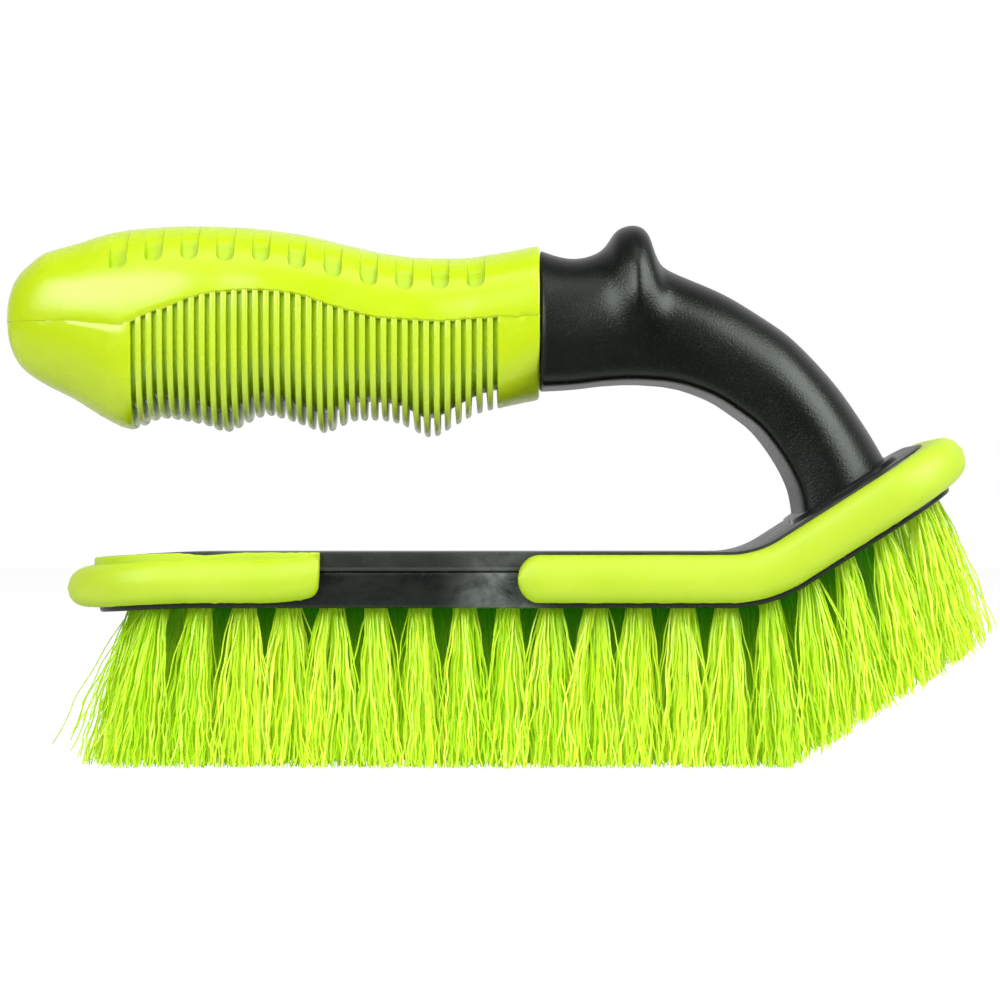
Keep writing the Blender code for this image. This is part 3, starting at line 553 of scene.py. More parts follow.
def stacked_slab(levels, **outline):
    """Points and faces of a plan outline stacked through its levels and bent up, with capped ends."""
    rings = []
    for inset, height in levels:
        half = block_outline(inset, **outline)
        ring = np.concatenate([half, (half * (1, -1))[1:-1][::-1]])
        rings.append(deck_points(ring[:, 0], ring[:, 1], height))
    count = len(rings[0])
    half_count = len(half)
    faces = ring_faces(len(rings), count, False, False)
    for base in (0, (len(rings) - 1) * count):
        for index in range(half_count - 1):
            mirrored = (count - index) % count
            mirrored_next = count - index - 1
            corners = [base + index, base + index + 1, base + mirrored_next, base + mirrored]
            faces.append(tuple(dict.fromkeys(corners)))
    return np.concatenate(rings), faces


# Materials
def set_inputs(node, settings):
    """Give some of a node's inputs their values."""
    for socket, value in settings.items():
        node.inputs[socket].default_value = value


def add_node(tree, kind, settings=None):
    """Add a node of a kind, with values for some of its inputs."""
    node = tree.nodes.new("ShaderNode" + kind)
    set_inputs(node, settings or {})
    return node


def new_material(name, colour, roughness, specular=0.5):
    """A Principled material, its node tree and its shader."""
    material = bpy.data.materials.new(name)
    material.use_nodes = True
    material.diffuse_color = (*colour, 1.0)
    shader = material.node_tree.nodes["Principled BSDF"]
    set_inputs(shader, {"Base Color": (*colour, 1.0), "Roughness": roughness, "Specular IOR Level": specular})
    return material, material.node_tree, shader


def object_noise(tree, scale, detail=2.0, stretch=(1.0, 1.0, 1.0), roughness=0.5, distortion=0.0):
    """Noise over the object's own coordinates, stretched along its axes."""
    place = add_node(tree, "TexCoord")
    mapping = add_node(tree, "Mapping", {"Scale": stretch})
    tree.links.new(place.outputs["Object"], mapping.inputs["Vector"])
    noise = add_node(tree, "TexNoise", {"Scale": scale, "Detail": detail, "Roughness": roughness,
                                        "Distortion": distortion})
    tree.links.new(mapping.outputs["Vector"], noise.inputs["Vector"])
    return noise.outputs["Fac"]


def mapped(tree, value, span, onto=(0.0, 1.0)):
    """Map a value's span onto another one, clamped."""
    node = add_node(tree, "MapRange", {"From Min": span[0], "From Max": span[1],
                                       "To Min": onto[0], "To Max": onto[1]})
    tree.links.new(value, node.inputs["Value"])
    return node.outputs["Result"]


def mixed_colour(tree, factor, first, second):
    """Mix two colours by a factor."""
    node = tree.nodes.new("ShaderNodeMix")
    node.data_type = "RGBA"
    for socket, colour in ((node.inputs["A"], first), (node.inputs["B"], second)):
        if isinstance(colour, tuple):
            socket.default_value = (*colour, 1.0)
        else:
            tree.links.new(colour, socket)
    tree.links.new(factor, node.inputs["Factor"])
    return node.outputs["Result"]


def multiplied(tree, first, second):
    """The product of two values."""
    node = add_node(tree, "Math")
    node.operation = "MULTIPLY"
    tree.links.new(first, node.inputs[0])
    tree.links.new(second, node.inputs[1])
    return node.outputs["Value"]


def place_along(tree, axis, source="Object"):
    """Where a point lies along an axis."""
    place = add_node(tree, "TexCoord")
    split = add_node(tree, "SeparateXYZ")
    tree.links.new(place.outputs[source], split.inputs["Vector"])
    return split.outputs[axis]


def add_bumps(tree, shader, layers):
    """Chain bump layers, each (height, strength, distance), into the shader's normal."""
    normal = None
    for height, strength, distance in layers:
        bump = add_node(tree, "Bump", {"Strength": strength, "Distance": distance})
        tree.links.new(height, bump.inputs["Height"])
        if normal:
            tree.links.new(normal, bump.inputs["Normal"])
        normal = bump.outputs["Normal"]
    tree.links.new(normal, shader.inputs["Normal"])


def layer_value(tree, name):
    """A layer of the mesh, one number for each point."""
    node = add_node(tree, "Attribute")
    node.attribute_name = name
    return node.outputs["Fac"]


def choose_for_camera(tree, unseen, seen, output):
    """Show the camera one shader and everything else another one."""
    path = add_node(tree, "LightPath")
    choice = add_node(tree, "MixShader")
    tree.links.new(path.outputs["Is Camera Ray"], choice.inputs["Fac"])
    tree.links.new(unseen, choice.inputs[1])
    tree.links.new(seen, choice.inputs[2])
    tree.links.new(choice.outputs["Shader"], output.inputs["Surface"])


def make_grained_black():
    """Black polypropylene with a spark-eroded grain."""
    material, tree, shader = new_material("black_grained", GRAINED_COLOUR, 0.34, specular=0.45)
    set_inputs(shader, {"Specular Tint": BLACK_GLOSS_TINT})
    grain = object_noise(tree, scale=1900, roughness=0.6)
    pits = object_noise(tree, scale=900, detail=1.0)
    cloud = object_noise(tree, scale=60, detail=3.0)
    tree.links.new(mapped(tree, cloud, (0.35, 0.65), onto=(0.31, 0.37)), shader.inputs["Roughness"])
    specks = mapped(tree, grain, (0.58, 0.72))
    colour = mixed_colour(tree, specks, GRAINED_COLOUR, SPECK_COLOUR)
    tree.links.new(colour, shader.inputs["Base Color"])
    dots = mapped(tree, pits, (0.22, 0.30))
    add_bumps(tree, shader, [(grain, 0.6, 0.00010), (dots, 0.3, 0.00008), (cloud, 0.08, 0.0002)])
    return material


def make_smooth_black(name, base, gloss, striped=False, painted_sheen=0.0):
    """Black polypropylene of the block, with fine scuffs over a span of gloss.

    Striped is for the deck, with the fine lines of its mould; the last argument is the strength of the pale
    patch beside the front bumper, a painted reflection.
    """
    material, tree, shader = new_material(name, base, 0.40, specular=0.36)
    set_inputs(shader, {"Specular Tint": BLACK_GLOSS_TINT})
    fine = object_noise(tree, scale=1500, detail=3.0, roughness=0.65)
    smudge = object_noise(tree, scale=85, detail=4.0, stretch=(1.0, 1.0, 1.6), roughness=0.7,
                          distortion=1.5)
    tree.links.new(mapped(tree, smudge, (0.40, 0.66), onto=gloss), shader.inputs["Roughness"])
    paleness = mapped(tree, fine, (0.62, 0.74))
    colour = mixed_colour(tree, paleness, base, tuple(value * DUST_GAIN for value in base))
    scuff = object_noise(tree, scale=60, detail=6.0, stretch=(0.55, 1.0, 1.3), roughness=0.78,
                         distortion=0.8)
    worn = mapped(tree, scuff, (0.52, 0.80))
    colour = mixed_colour(tree, worn, colour, tuple(value * WORN_GAIN for value in base))
    # The pale patch beside the front bumper: a painted reflection
    if painted_sheen:
        cloud = object_noise(tree, scale=110, detail=5.0, stretch=(1.0, 0.3, 1.5), roughness=0.66,
                             distortion=0.6)
        cloud = mapped(tree, cloud, (0.36, 0.66), onto=(PAINTED_SHEEN_FAINT * painted_sheen, painted_sheen))
        along = place_along(tree, "X")
        rise = mapped(tree, along, (PAINTED_SHEEN_X - PAINTED_SHEEN_REACH, PAINTED_SHEEN_X))
        fall = mapped(tree, along, (PAINTED_SHEEN_X, PAINTED_SHEEN_X + PAINTED_SHEEN_REACH), onto=(1.0, 0.0))
        for edge in (rise, fall):
            edge.node.interpolation_type = "SMOOTHSTEP"
        window = multiplied(tree, multiplied(tree, rise, fall), cloud)
        colour = mixed_colour(tree, window, colour, PAINTED_SHEEN_COLOUR)
    tree.links.new(colour, shader.inputs["Base Color"])
    if striped:
        lines = object_noise(tree, scale=700, stretch=(0.02, 1.0, 0.02))
        add_bumps(tree, shader, [(fine, 0.06, 0.00003), (lines, 0.12, 0.00008)])
    else:
        add_bumps(tree, shader, [(fine, 0.30, 0.00008), (smudge, 0.12, 0.0003)])
    return material


def make_rubber(name, colour, pale, roughness):
    """Soft bright rubber with a slightly uneven skin, painted shade in its gaps and pockets, and painted
    sheen on its fins with glints at their tips.
    """
    material, tree, shader = new_material(name, colour, roughness)
    cloud = object_noise(tree, scale=70, detail=3.0, roughness=0.6)
    fine = object_noise(tree, scale=1200)
    skin = mixed_colour(tree, mapped(tree, cloud, (0.35, 0.70)), colour, pale)
    # Painted shade, darker in the gaps and pockets
    deep = mixed_colour(tree, layer_value(tree, "depth_shade"), skin, RUBBER_PAINTED_SHADE_COLOUR)
    # Painted sheen on the fins and glints at their tips, a painted reflection of the floor
    with_glint = mixed_colour(tree, layer_value(tree, "painted_glint"), deep, RUBBER_GLINT_COLOUR)
    tree.links.new(with_glint, shader.inputs["Base Color"])
    matt = mapped(tree, cloud, (0.3, 0.7), onto=(roughness - 0.05, roughness + 0.06))
    tree.links.new(matt, shader.inputs["Roughness"])
    set_inputs(shader, {"Subsurface Weight": 0.15, "Subsurface Radius": (1.0, 1.0, 0.3),
                        "Subsurface Scale": 0.0010})
    add_bumps(tree, shader, [(fine, 0.10, 0.00004), (cloud, 0.12, 0.0004)])
    return material


def make_nylon():
    """Fluorescent nylon filament, each with its own tint; painted shade makes it greener and darker deep
    among the tufts, and a painted glow stands in for light through the filaments.
    """
    material, tree, shader = new_material("nylon_green", NYLON_COLOUR, 0.34, specular=0.4)
    colour = mixed_colour(tree, layer_value(tree, "filament_tint"), NYLON_GREENER, NYLON_PALER)
    # Painted shade, greener and darker deep among the tufts
    deep = mixed_colour(tree, layer_value(tree, "depth_shade"), colour, NYLON_PAINTED_SHADE_COLOUR)
    tree.links.new(deep, shader.inputs["Base Color"])
    # Painted glow, standing in for light through the filaments
    tree.links.new(deep, shader.inputs["Emission Color"])
    set_inputs(shader, {"Emission Strength": NYLON_PAINTED_GLOW})
    streak = object_noise(tree, scale=900, stretch=(1.0, 1.0, 0.15))
    tree.links.new(mapped(tree, streak, (0.3, 0.7), onto=(0.28, 0.44)), shader.inputs["Roughness"])
    add_bumps(tree, shader, [(streak, 0.15, 0.00003)])
    return material


GRAINED_BLACK = make_grained_black()
# The cover and the plate carry the pale patch beside the front bumper, a painted reflection
COVER_BLACK = make_smooth_black("black_block_cover", (0.020, 0.023, 0.0205), (0.28, 0.44), painted_sheen=0.45)
DECK_BLACK = make_smooth_black("black_deck_top", (0.014, 0.016, 0.014), (0.37, 0.45), striped=True)
PLATE_BLACK = make_smooth_black("black_block_plate", (0.006, 0.0075, 0.0065), (0.26, 0.44), painted_sheen=1.0)
GRIP_GREEN = make_rubber("grip_green", (0.50, 0.68, 0.006), (0.53, 0.70, 0.011), 0.25)
BUMPER_GREEN = make_rubber("bumper_green", (0.46, 0.645, 0.014), (0.50, 0.665, 0.032), 0.50)
NYLON = make_nylon()


# Block
def make_block():
    """Both halves of the block, with a bead and a gap at their joint, and the plinth of the neck."""
    points, faces = stacked_slab(COVER_LEVELS)
    cover = make_piece("block_cover", points, faces, COVER_BLACK, ["handle_frame"])
    cover.data.materials.append(DECK_BLACK)
    for polygon in cover.data.polygons:
        if polygon.normal.z > DECK_NORMAL_Z:
            polygon.material_index = 1
    points, faces = stacked_slab(PLATE_LEVELS)
    make_piece("block_plate", points, faces, PLATE_BLACK, ["bristle_plate"])
    points, faces = stacked_slab(PLINTH_LEVELS, rear=FOOT_BACK_RUN - PLINTH_MARGIN,
                                 front=FOOT_FRONT_RUN + PLINTH_MARGIN,
                                 width=NECK_WIDTH + 2 * PLINTH_MARGIN, radius=PLINTH_CORNER_RADIUS)
    make_piece("neck_plinth", points, faces, PLATE_BLACK, [])


# Bumpers
def bumper_path():
    """Pairs of inner and outer plan points round one end of the block, from its side to the middle."""
    inner_radius, outer_radius = BLOCK_CORNER_RADIUS, BUMPER_CORNER_RADIUS
    pairs = []
    for angle in quarter_turn(BUMPER_CORNER_STEPS):
        inner = (inner_radius * (1 - math.sin(angle)),
                 BLOCK_WIDTH / 2 - inner_radius * (1 - math.cos(angle)))
        outer = (outer_radius * (1 - math.sin(angle)) - BUMPER_END_PROUD,
                 BLOCK_WIDTH / 2 + BUMPER_SIDE_PROUD - outer_radius * (1 - math.cos(angle)))
        pairs.append((inner, outer))
    inner_half = BLOCK_WIDTH / 2 - inner_radius
    outer_half = BLOCK_WIDTH / 2 + BUMPER_SIDE_PROUD - outer_radius
    for step in range(1, OUTLINE_END_STEPS + 1):
        share = 1 - step / OUTLINE_END_STEPS
        pairs.append(((0.0, inner_half * share), (-BUMPER_END_PROUD, outer_half * share)))
    return pairs


def bumper_ring(inner, outer, low, high, fullness, lip):
    """A D-shaped section as (run, across, height), from inside top round the bulge to inside bottom."""
    fullness = fullness * (1 - (SEAM_RIDGE + SEAM_MARGIN) / BUMPER_SIDE_PROUD)
    inner, outer = np.array(inner), np.array(outer)
    middle, half = (low + high) / 2, (high - low) / 2
    direction = outer - inner
    lip_share = LIP_PROUD / np.linalg.norm(direction) if lip is not None else 0.0
    if lip is not None:
        top = ((-BUMPER_TUCK, lip), (lip_share * LIP_FLAT_SHARE, lip), (lip_share, lip - LIP_ROUNDING))
    else:
        top = ((-BUMPER_TUCK, high - TUCK_DROP), (-BUMPER_TUCK / 2, high - TUCK_DROP / 2), (0.0, high))
    ring = [(*(inner + direction * share), level) for share, level in top]
    for step in range(BUMPER_PROFILE_STEPS + 1):
        angle = math.pi / 2 - math.pi * step / BUMPER_PROFILE_STEPS
        power = 2 / BUMPER_SQUARENESS
        reach = abs(math.cos(angle)) ** power * fullness
        level = math.copysign(abs(math.sin(angle)) ** power, math.sin(angle))
        ridge = SEAM_RIDGE / BUMPER_SIDE_PROUD if step == BUMPER_PROFILE_STEPS // 2 else 0.0
        share = max(reach + ridge, lip_share * LIP_FOOT_SHARE if level > 0 else 0.0)
        ring.append((*(inner + direction * share), middle + half * level))
    ring.append((*(inner - direction * BUMPER_TUCK), low + TUCK_DROP))
    return np.array(ring)


def sweep_low(back):
    """How far up the underside has come at a distance back from the rear bumper's front end."""
    share = min(max(back / NOSE_SWEEP_LENGTH, 0.0), 1.0)
    return curve_value(NOSE_SWEEP_SHARES, share)


def make_bumper(name, side_runs, origin, direction, limits, has_lip):
    """A bumper round one end of the block; side_runs are its stations along the straight side."""
    stations = []
    for run in side_runs:
        stations.append((run, (run, BLOCK_WIDTH / 2), (run, BLOCK_WIDTH / 2 + BUMPER_SIDE_PROUD)))
    for inner, outer in bumper_path():
        stations.append((None, (origin + direction * inner[0], inner[1]),
                         (origin + direction * outer[0], outer[1])))
    half_rings = []
    travelled = 0.0
    before = None
    for run, inner, outer in stations:
        if before is not None:
            travelled += math.dist(before, inner)
        before = inner
        low, high, fullness = limits(run)
        lip = None
        if has_lip:
            dip = math.exp(-((inner[0] - LIP_DIP_X) / LIP_DIP_LENGTH) ** 2) if run is not None else 0.0
            lip = LIP_TOP - LIP_DIP * dip
        ring = bumper_ring(inner, outer, low, high, fullness, lip)
        ragged = wobble([travelled], TOP_EDGE_WAVES, SEED)[0] * EDGE_RAGGEDNESS
        ring[:3, 2] += ragged * (LIP_RAGGEDNESS if has_lip else 1.0)
        ring[-2:, 2] += wobble([travelled], LOW_EDGE_WAVES, SEED + 1)[0] * EDGE_RAGGEDNESS
        half_rings.append(ring)
    mirrored = [ring * (1, -1, 1) for ring in half_rings[:-1]][::-1]
    rings = half_rings + mirrored
    count = len(rings[0])
    flat = np.concatenate(rings)
    points = deck_points(flat[:, 0], flat[:, 1], flat[:, 2])
    return make_piece(name, points, ring_faces(len(rings), count), BUMPER_GREEN, [name])


def make_bumpers():
    """The rear bumper with its lip and swept end, and the front bumper with its round end."""
    front_end = BLOCK_REAR_X + REAR_BUMPER_LENGTH
    corner = BLOCK_REAR_X + BLOCK_CORNER_RADIUS + SIDE_TO_CORNER
    rear_runs = [front_end - back for back in REAR_END_OFFSETS]
    rear_runs += list(np.linspace(front_end - REAR_SIDE_START, corner, REAR_SIDE_COUNT))

    def rear_limits(run):
        if run is None:
            return BUMPER_BOTTOM, REAR_BUMPER_TOP, 1.0
        back = front_end - run
        low = BUMPER_BOTTOM + BUMPER_HEIGHT * sweep_low(back)
        filled = math.sqrt(min(back / REAR_END_FILL, 1.0))
        fullness = REAR_END_FULLNESS + (1 - REAR_END_FULLNESS) * filled
        high = REAR_BUMPER_TOP + (LIP_TOP - REAR_BUMPER_TOP) * math.exp(-max(back, 0.0) / LIP_FADE)
        return low, high, fullness

    make_bumper("rear_bumper", rear_runs, BLOCK_REAR_X, 1, rear_limits, True)

    start = BLOCK_REAR_X + FRONT_BUMPER_START
    corner = NOSE_END - BLOCK_CORNER_RADIUS - SIDE_TO_CORNER
    front_runs = [start + along for along in FRONT_END_OFFSETS]
    front_runs += list(np.linspace(start + FRONT_SIDE_START, corner, FRONT_SIDE_COUNT))

    def front_limits(run):
        if run is None:
            return BUMPER_BOTTOM, BUMPER_TOP, 1.0
        share = min((run - start) / END_ROUNDING, 1.0)
        half = BUMPER_HEIGHT / 2 * math.sqrt(max(1 - (1 - share) ** 2, 0.0))
        fullness = FRONT_END_FULLNESS + (1 - FRONT_END_FULLNESS) * math.sqrt(share)
        return BUMPER_MIDDLE - half, BUMPER_MIDDLE + half, fullness

    make_bumper("front_bumper", front_runs, NOSE_END, -1, front_limits, False)


# Grip
def grip_edges(share):
    """Top and bottom of the grip at a share of its length, as shares of its depth."""
    return curve_value(GRIP_TOP_SHARES, share), curve_value(GRIP_BOTTOM_SHARES, share)


def grip_section(share, angles, inset):
    """Points of the grip's oval section at a share of its length, moved inwards by an inset."""
    top, bottom = (GRIP_BOTTOM_Z + GRIP_DEPTH * edge for edge in grip_edges(share))
    half_width = GRIP_WIDTH * curve_value(GRIP_WIDTH_SHARES, share) / 2
    inset = np.minimum(inset, INSET_LIMIT_SHARE * min(half_width, (top - bottom) / 2))
    place = share * GRIP_LENGTH
    finned = float(smooth_step(FIN_BLEND_SHARE * FIRST_FIN_GAP, FIRST_FIN_GAP, place)
                   * smooth_step(GRIP_LENGTH, LAST_FIN_GAP, place))
    cosine, sine = np.cos(angles), np.sin(angles)
    under = np.maximum(0.0, -sine) ** 0.5
    power = 2 / (GRIP_SQUARENESS + (FIN_SQUARENESS - GRIP_SQUARENESS) * finned * under)
    across = (half_width - inset) * np.sign(cosine) * np.abs(cosine) ** power
    rise = ((top - bottom) / 2 - inset) * np.sign(sine) * np.abs(sine) ** power
    x = np.full_like(across, GRIP_BUTT_X + GRIP_LENGTH * share)
    return np.stack([x, across, (top + bottom) / 2 + rise], axis=-1)


def edge_angle(share):
    """Angle of the band's lower edge in the section."""
    top, bottom = grip_edges(share)
    level = (curve_value(BAND_EDGE_SHARES, share) - (top + bottom) / 2) / ((top - bottom) / 2)
    return math.asin(math.copysign(min(abs(level), EDGE_LEVEL_LIMIT) ** (GRIP_SQUARENESS / 2), level))


def make_grip_fins():
    """The under half of the grip: butt, fins on a sunk floor, and collar."""
    angles = np.linspace(0, 2 * math.pi, FIN_SECTION_SIDES, endpoint=False)
    downward = np.maximum(0.0, -np.sin(angles))
    floor_depth = FIN_SIDE_DEPTH + (FIN_BOTTOM_DEPTH - FIN_SIDE_DEPTH) * downward ** 2
    rounding = FIN_EDGE_SIDE + FIN_EDGE_BOTTOM * downward ** 3
    generator = np.random.default_rng(SEED)
    rings, shades, glints = [], [], []
    bare = np.zeros_like(angles)

    def add(place, inset, shift=0.0, shade=bare, paleness=bare):
        share = place / GRIP_LENGTH
        above = np.where(angles < math.pi / 2, angles, math.pi - angles)
        above = np.where(angles > 1.5 * math.pi, angles - 2 * math.pi, above)
        hidden = above > edge_angle(share) + BAND_OVERLAP_ANGLE
        step = BUTT_STEP if place < FIRST_FIN_GAP - FIN_GAP else BAND_PROUD
        covered = smooth_step(0.0, END_COVER_LENGTH, place)
        covered = END_COVER_DEPTH + (COVER_DEPTH - END_COVER_DEPTH) * covered
        depth = np.where(hidden, covered, np.maximum(inset, 0) + step)
        ring = grip_section(share, angles, depth)
        set_back = END_STEP * (1 - smooth_step(0.0, END_STEP_LENGTH, place))
        ring[:, 0] += np.where(hidden, 0.0, shift) + set_back
        rings.append(ring)
        shades.append(shade)
        glints.append(paleness)

    for share in BUTT_SHARES:
        add(share * GRIP_LENGTH, bare)
    for back, share in WALL_STATIONS:
        add(FIRST_FIN_GAP - FIN_GAP / 2 - back, share * rounding)
    # Painted shade on the floors of the gaps, darker towards the bottom
    floor_shade = GAP_SHADE[0] + GAP_SHADE[1] * downward ** 1.3
    for index in range(FIN_GAP_COUNT):
        centre = FIRST_FIN_GAP + index * FIN_PITCH
        half_floor = FIN_GAP / 2 - FIN_DRAFT
        add(centre - half_floor, floor_depth, 0.0, floor_shade)
        add(centre + half_floor, floor_depth, 0.0, floor_shade)
        if index == FIN_GAP_COUNT - 1:
            break
        lean = generator.normal(0, FIN_LEAN)
        bow = generator.normal(0, FIN_BOW)
        wave = downward ** 1.5 * lean + np.sin(2 * angles) * bow / 2 + downward ** 2 * FIN_SAG
        trim = np.maximum(0, generator.normal(0, FIN_TRIM)) * downward ** 4
        # Paler fins, much paler at their tips: painted sheen and a painted reflection of the floor
        paleness = FIN_PAINTED_SHEEN + downward ** 7 * generator.uniform(*TIP_PAINTED_GLINT)
        half_fin = (FIN_PITCH - FIN_GAP) / 2
        middle = centre + FIN_PITCH / 2
        # Painted shade on the fins' rounded edges
        for place in FIN_STATIONS:
            edge = 1 - math.sqrt(1 - place ** 2)
            add(middle + place * half_fin, trim + rounding * edge, wave, bare + FIN_EDGE_SHADE * edge, paleness)
    last_wall = LAST_FIN_GAP + FIN_GAP / 2
    for ahead, share in WALL_STATIONS[:0:-1]:
        add(last_wall + ahead, share * rounding)
    start = last_wall + STATION_STEP
    for place in np.linspace(start, GRIP_LENGTH - COLLAR_BACKS[0], COLLAR_FIN_STATIONS):
        add(place, bare)
    for back, inset in zip(COLLAR_BACKS[1:], COLLAR_INSETS[1:]):
        add(GRIP_LENGTH - back, bare + inset)
    layers = {"depth_shade": np.concatenate(shades), "painted_glint": np.concatenate(glints)}
    make_piece("grip_fins", np.concatenate(rings), ring_faces(len(rings), len(angles)), GRIP_GREEN,
               ["grip_sleeve"], sharp_degrees=50, weld=0, layers=layers)


def drop_angle(share, drop):
    """Angle in the section of a place that lies a drop under the top of the grip."""
    top, bottom = grip_edges(share)
    level = 1 - drop / (GRIP_DEPTH * (top - bottom) / 2)
    return math.asin(min(max(level, 0.0), 1.0) ** (GRIP_SQUARENESS / 2))


def band_stations():
    """Stations along the band as (place, offset from the pocket's middle or None, pocket's number)."""
    half = POCKET_WIDTH / 2
    beyond = (*POCKET_FLOOR_OFFSETS, half - POCKET_WALL, half, half + POCKET_LIP)
    offsets = [-offset for offset in beyond[:0:-1]] + list(beyond)
    stations = [(share * GRIP_LENGTH, None, 0) for share in BUTT_SHARES]
    stations = [row for row in stations if row[0] < FIRST_POCKET - half - POCKET_LEAD]
    for index in range(POCKET_COUNT):
        centre = FIRST_POCKET + index * POCKET_PITCH
        stations += [(centre + offset, offset, index) for offset in offsets]
        stations.append((centre + POCKET_PITCH / 2, None, index))
    last = POCKET_COUNT - 1
    start = stations[-1][0] + STATION_STEP
    collar = np.linspace(start, GRIP_LENGTH - COLLAR_BACKS[0], COLLAR_BAND_STATIONS)
    stations += [(place, None, last) for place in collar]
    return stations + [(GRIP_LENGTH - back, None, last) for back in COLLAR_BACKS[1:]]


def and_mirrored(values):
    """Values from the band's edge up to its crown, and back down the other side."""
    return np.concatenate([values, values[::-1][1:]])


def make_grip_band():
    """The smooth upper half of the grip, slightly proud, with its eleven pockets on each side."""
    half_pocket = POCKET_WIDTH / 2
    floor_half = half_pocket - POCKET_WALL
    rings, shades = [], []
    for place, offset, index in band_stations():
        share = place / GRIP_LENGTH
        low = edge_angle(share)
        top, bottom = grip_edges(share)
        turn = 2 / (GRIP_DEPTH * (top - bottom))
        ragged = wobble([place], BAND_EDGE_WAVES, SEED + 5)[0] * EDGE_RAGGEDNESS
        ragged *= COLLAR_RAGGEDNESS if place > GRIP_LENGTH - COLLAR_LENGTH else 1.0
        ragged = ragged if place > FIRST_FIN_GAP else 0.0
        # Lines from the band's edge to the crown, which follow the round lower end of a pocket
        reach = abs(offset) if offset is not None else half_pocket
        centre_drop = POCKET_END_DROPS[index] - half_pocket
        drops = (centre_drop + math.sqrt(max(half_pocket ** 2 - reach ** 2, 0.0)),
                 centre_drop + math.sqrt(max(floor_half ** 2 - reach ** 2, 0.0)),
                 POCKET_END_DROPS[index] - POCKET_FLOOR)
        rim, foot, crease = (max(drop_angle(share, drop), low + least * (POCKET_TOP_ANGLE - low))
                             for drop, least in zip(drops, LEAST_ANGLE_SHARES))
        quarter = np.concatenate([low + (rim - low) * RIM_SHARES, foot + (crease - foot) * FLOOR_SHARES,
                                  crease + (POCKET_TOP_ANGLE - crease) * RAMP_SHARES, [math.pi / 2]])
        depth = np.zeros_like(quarter)
        shade = np.zeros_like(quarter)
        depth[:2] = BAND_EDGE_DEPTHS * smooth_step(0.0, BAND_EDGE_START, place)
        if offset is not None and abs(offset) <= floor_half + ROUNDING_ROOM:
            depth[FLOOR_LINES] = np.linspace(POCKET_DEPTH, CREASE_DEPTH, len(FLOOR_SHARES))
            ramp = quarter[RAMP_LINES]
            depth[RAMP_LINES] = RAMP_DEPTH * (1 - (ramp - ramp[0]) / (POCKET_TOP_ANGLE - ramp[0]))
            # Painted shade on the pocket's floor
            shade[FLOOR_LINES] = POCKET_SHADE
        depth = depth + np.interp(GRIP_LENGTH - place, COLLAR_BACKS[::-1], COLLAR_INSETS[::-1])
        quarter[:2] += ragged * turn
        outer_angles = np.concatenate([quarter, math.pi - quarter[::-1][1:]])
        outer = grip_section(share, outer_angles, and_mirrored(depth))
        inner_angles = np.linspace(math.pi - quarter[0], quarter[0], BAND_INNER_STEPS)
        inner = grip_section(share, inner_angles, np.full(BAND_INNER_STEPS, BAND_THICKNESS))
        rings.append(np.concatenate([outer, inner]))
        shades.append(np.concatenate([and_mirrored(shade), np.zeros(BAND_INNER_STEPS)]))
    faces = ring_faces(len(rings), len(rings[0]))
    make_piece("grip_band", np.concatenate(rings), faces, GRIP_GREEN, [], sharp_degrees=34,
               weld=0, layers={"depth_shade": np.concatenate(shades)})


# Neck
def base_level(x):
    """Height of the neck's outer edge without the thumb rest."""
    reach = deck_points(FOOT_FRONT_RUN, 0, -FOOT_SINK)[0] - NECK_START_X
    return DECK_Z + NECK_RISE * curve_value(NECK_BASE_EDGE, (x - NECK_START_X) / reach)


def neck_outline():
    """Evenly spaced places round a section, as a share of the half width and a share of the depth."""
    angles = np.linspace(0, 2 * math.pi, NECK_SIDES * NECK_FINE_STEPS + 1)
    cosine, sine = np.cos(angles), np.sin(angles)
    power = np.where(sine > 0, 2 / NECK_OUTER_SQUARENESS, 2 / NECK_INNER_SQUARENESS)
    side = np.sign(cosine) * np.abs(cosine) ** power
    level = np.sign(sine) * np.abs(sine) ** power
    travelled = np.concatenate([[0.0], np.cumsum(np.hypot(np.diff(side), np.diff(level)))])
    stops = np.linspace(0, travelled[-1], NECK_SIDES, endpoint=False)
    level = np.interp(stops, travelled, level)
    share = NECK_WIDEST_SHARE + level * np.where(level > 0, 1 - NECK_WIDEST_SHARE, NECK_WIDEST_SHARE)
    return np.interp(stops, travelled, side), share


NECK_OUTLINE = neck_outline()


def neck_section(outer, inner, width, inset=0.0):
    """A section of the neck between its outer and inner edges, flat on the inner side."""
    half_side, height_share = NECK_OUTLINE
    across = width / 2 * half_side
    if inset:
        across = across * (1 - 2 * inset / width)
        length = np.linalg.norm(np.array(outer) - np.array(inner))
        height_share = 0.5 + (height_share - 0.5) * (1 - 2 * inset / length)
    inward = np.maximum(0.0, 1 - height_share / NECK_TAPER_END)
    across = across * (1 - NECK_TAPER * inward ** NECK_TAPER_POWER)
    flat_top = min(outer[2], base_level(outer[0])) if not inset else outer[2]
    base = np.array((outer[0], 0.0, flat_top))
    line = np.array(inner) + (base - np.array(inner)) * height_share[:, None]
    line[:, 2] += (outer[2] - flat_top) * smooth_step(NUB_FOOT_SHARE, 1.0, height_share)
    return line + np.stack([np.zeros_like(across), across, np.zeros_like(across)], axis=-1)


def raise_thumb_ridge(points):
    """Raise the soft upright ridge on both sides of the neck, under the thumb rest."""
    beside = np.abs(points[:, 0] - RIDGE_X) / RIDGE_SPREAD
    upright = smooth_step(RIDGE_FOOT_Z, RIDGE_FULL_Z, points[:, 2])
    side = np.clip(np.abs(points[:, 1]) / RIDGE_SIDE_REACH, 0.0, 1.0) ** 2
    points[:, 1] += np.sign(points[:, 1]) * RIDGE_PROUD * np.exp(-beside ** RIDGE_POWER) * upright * side
    return points


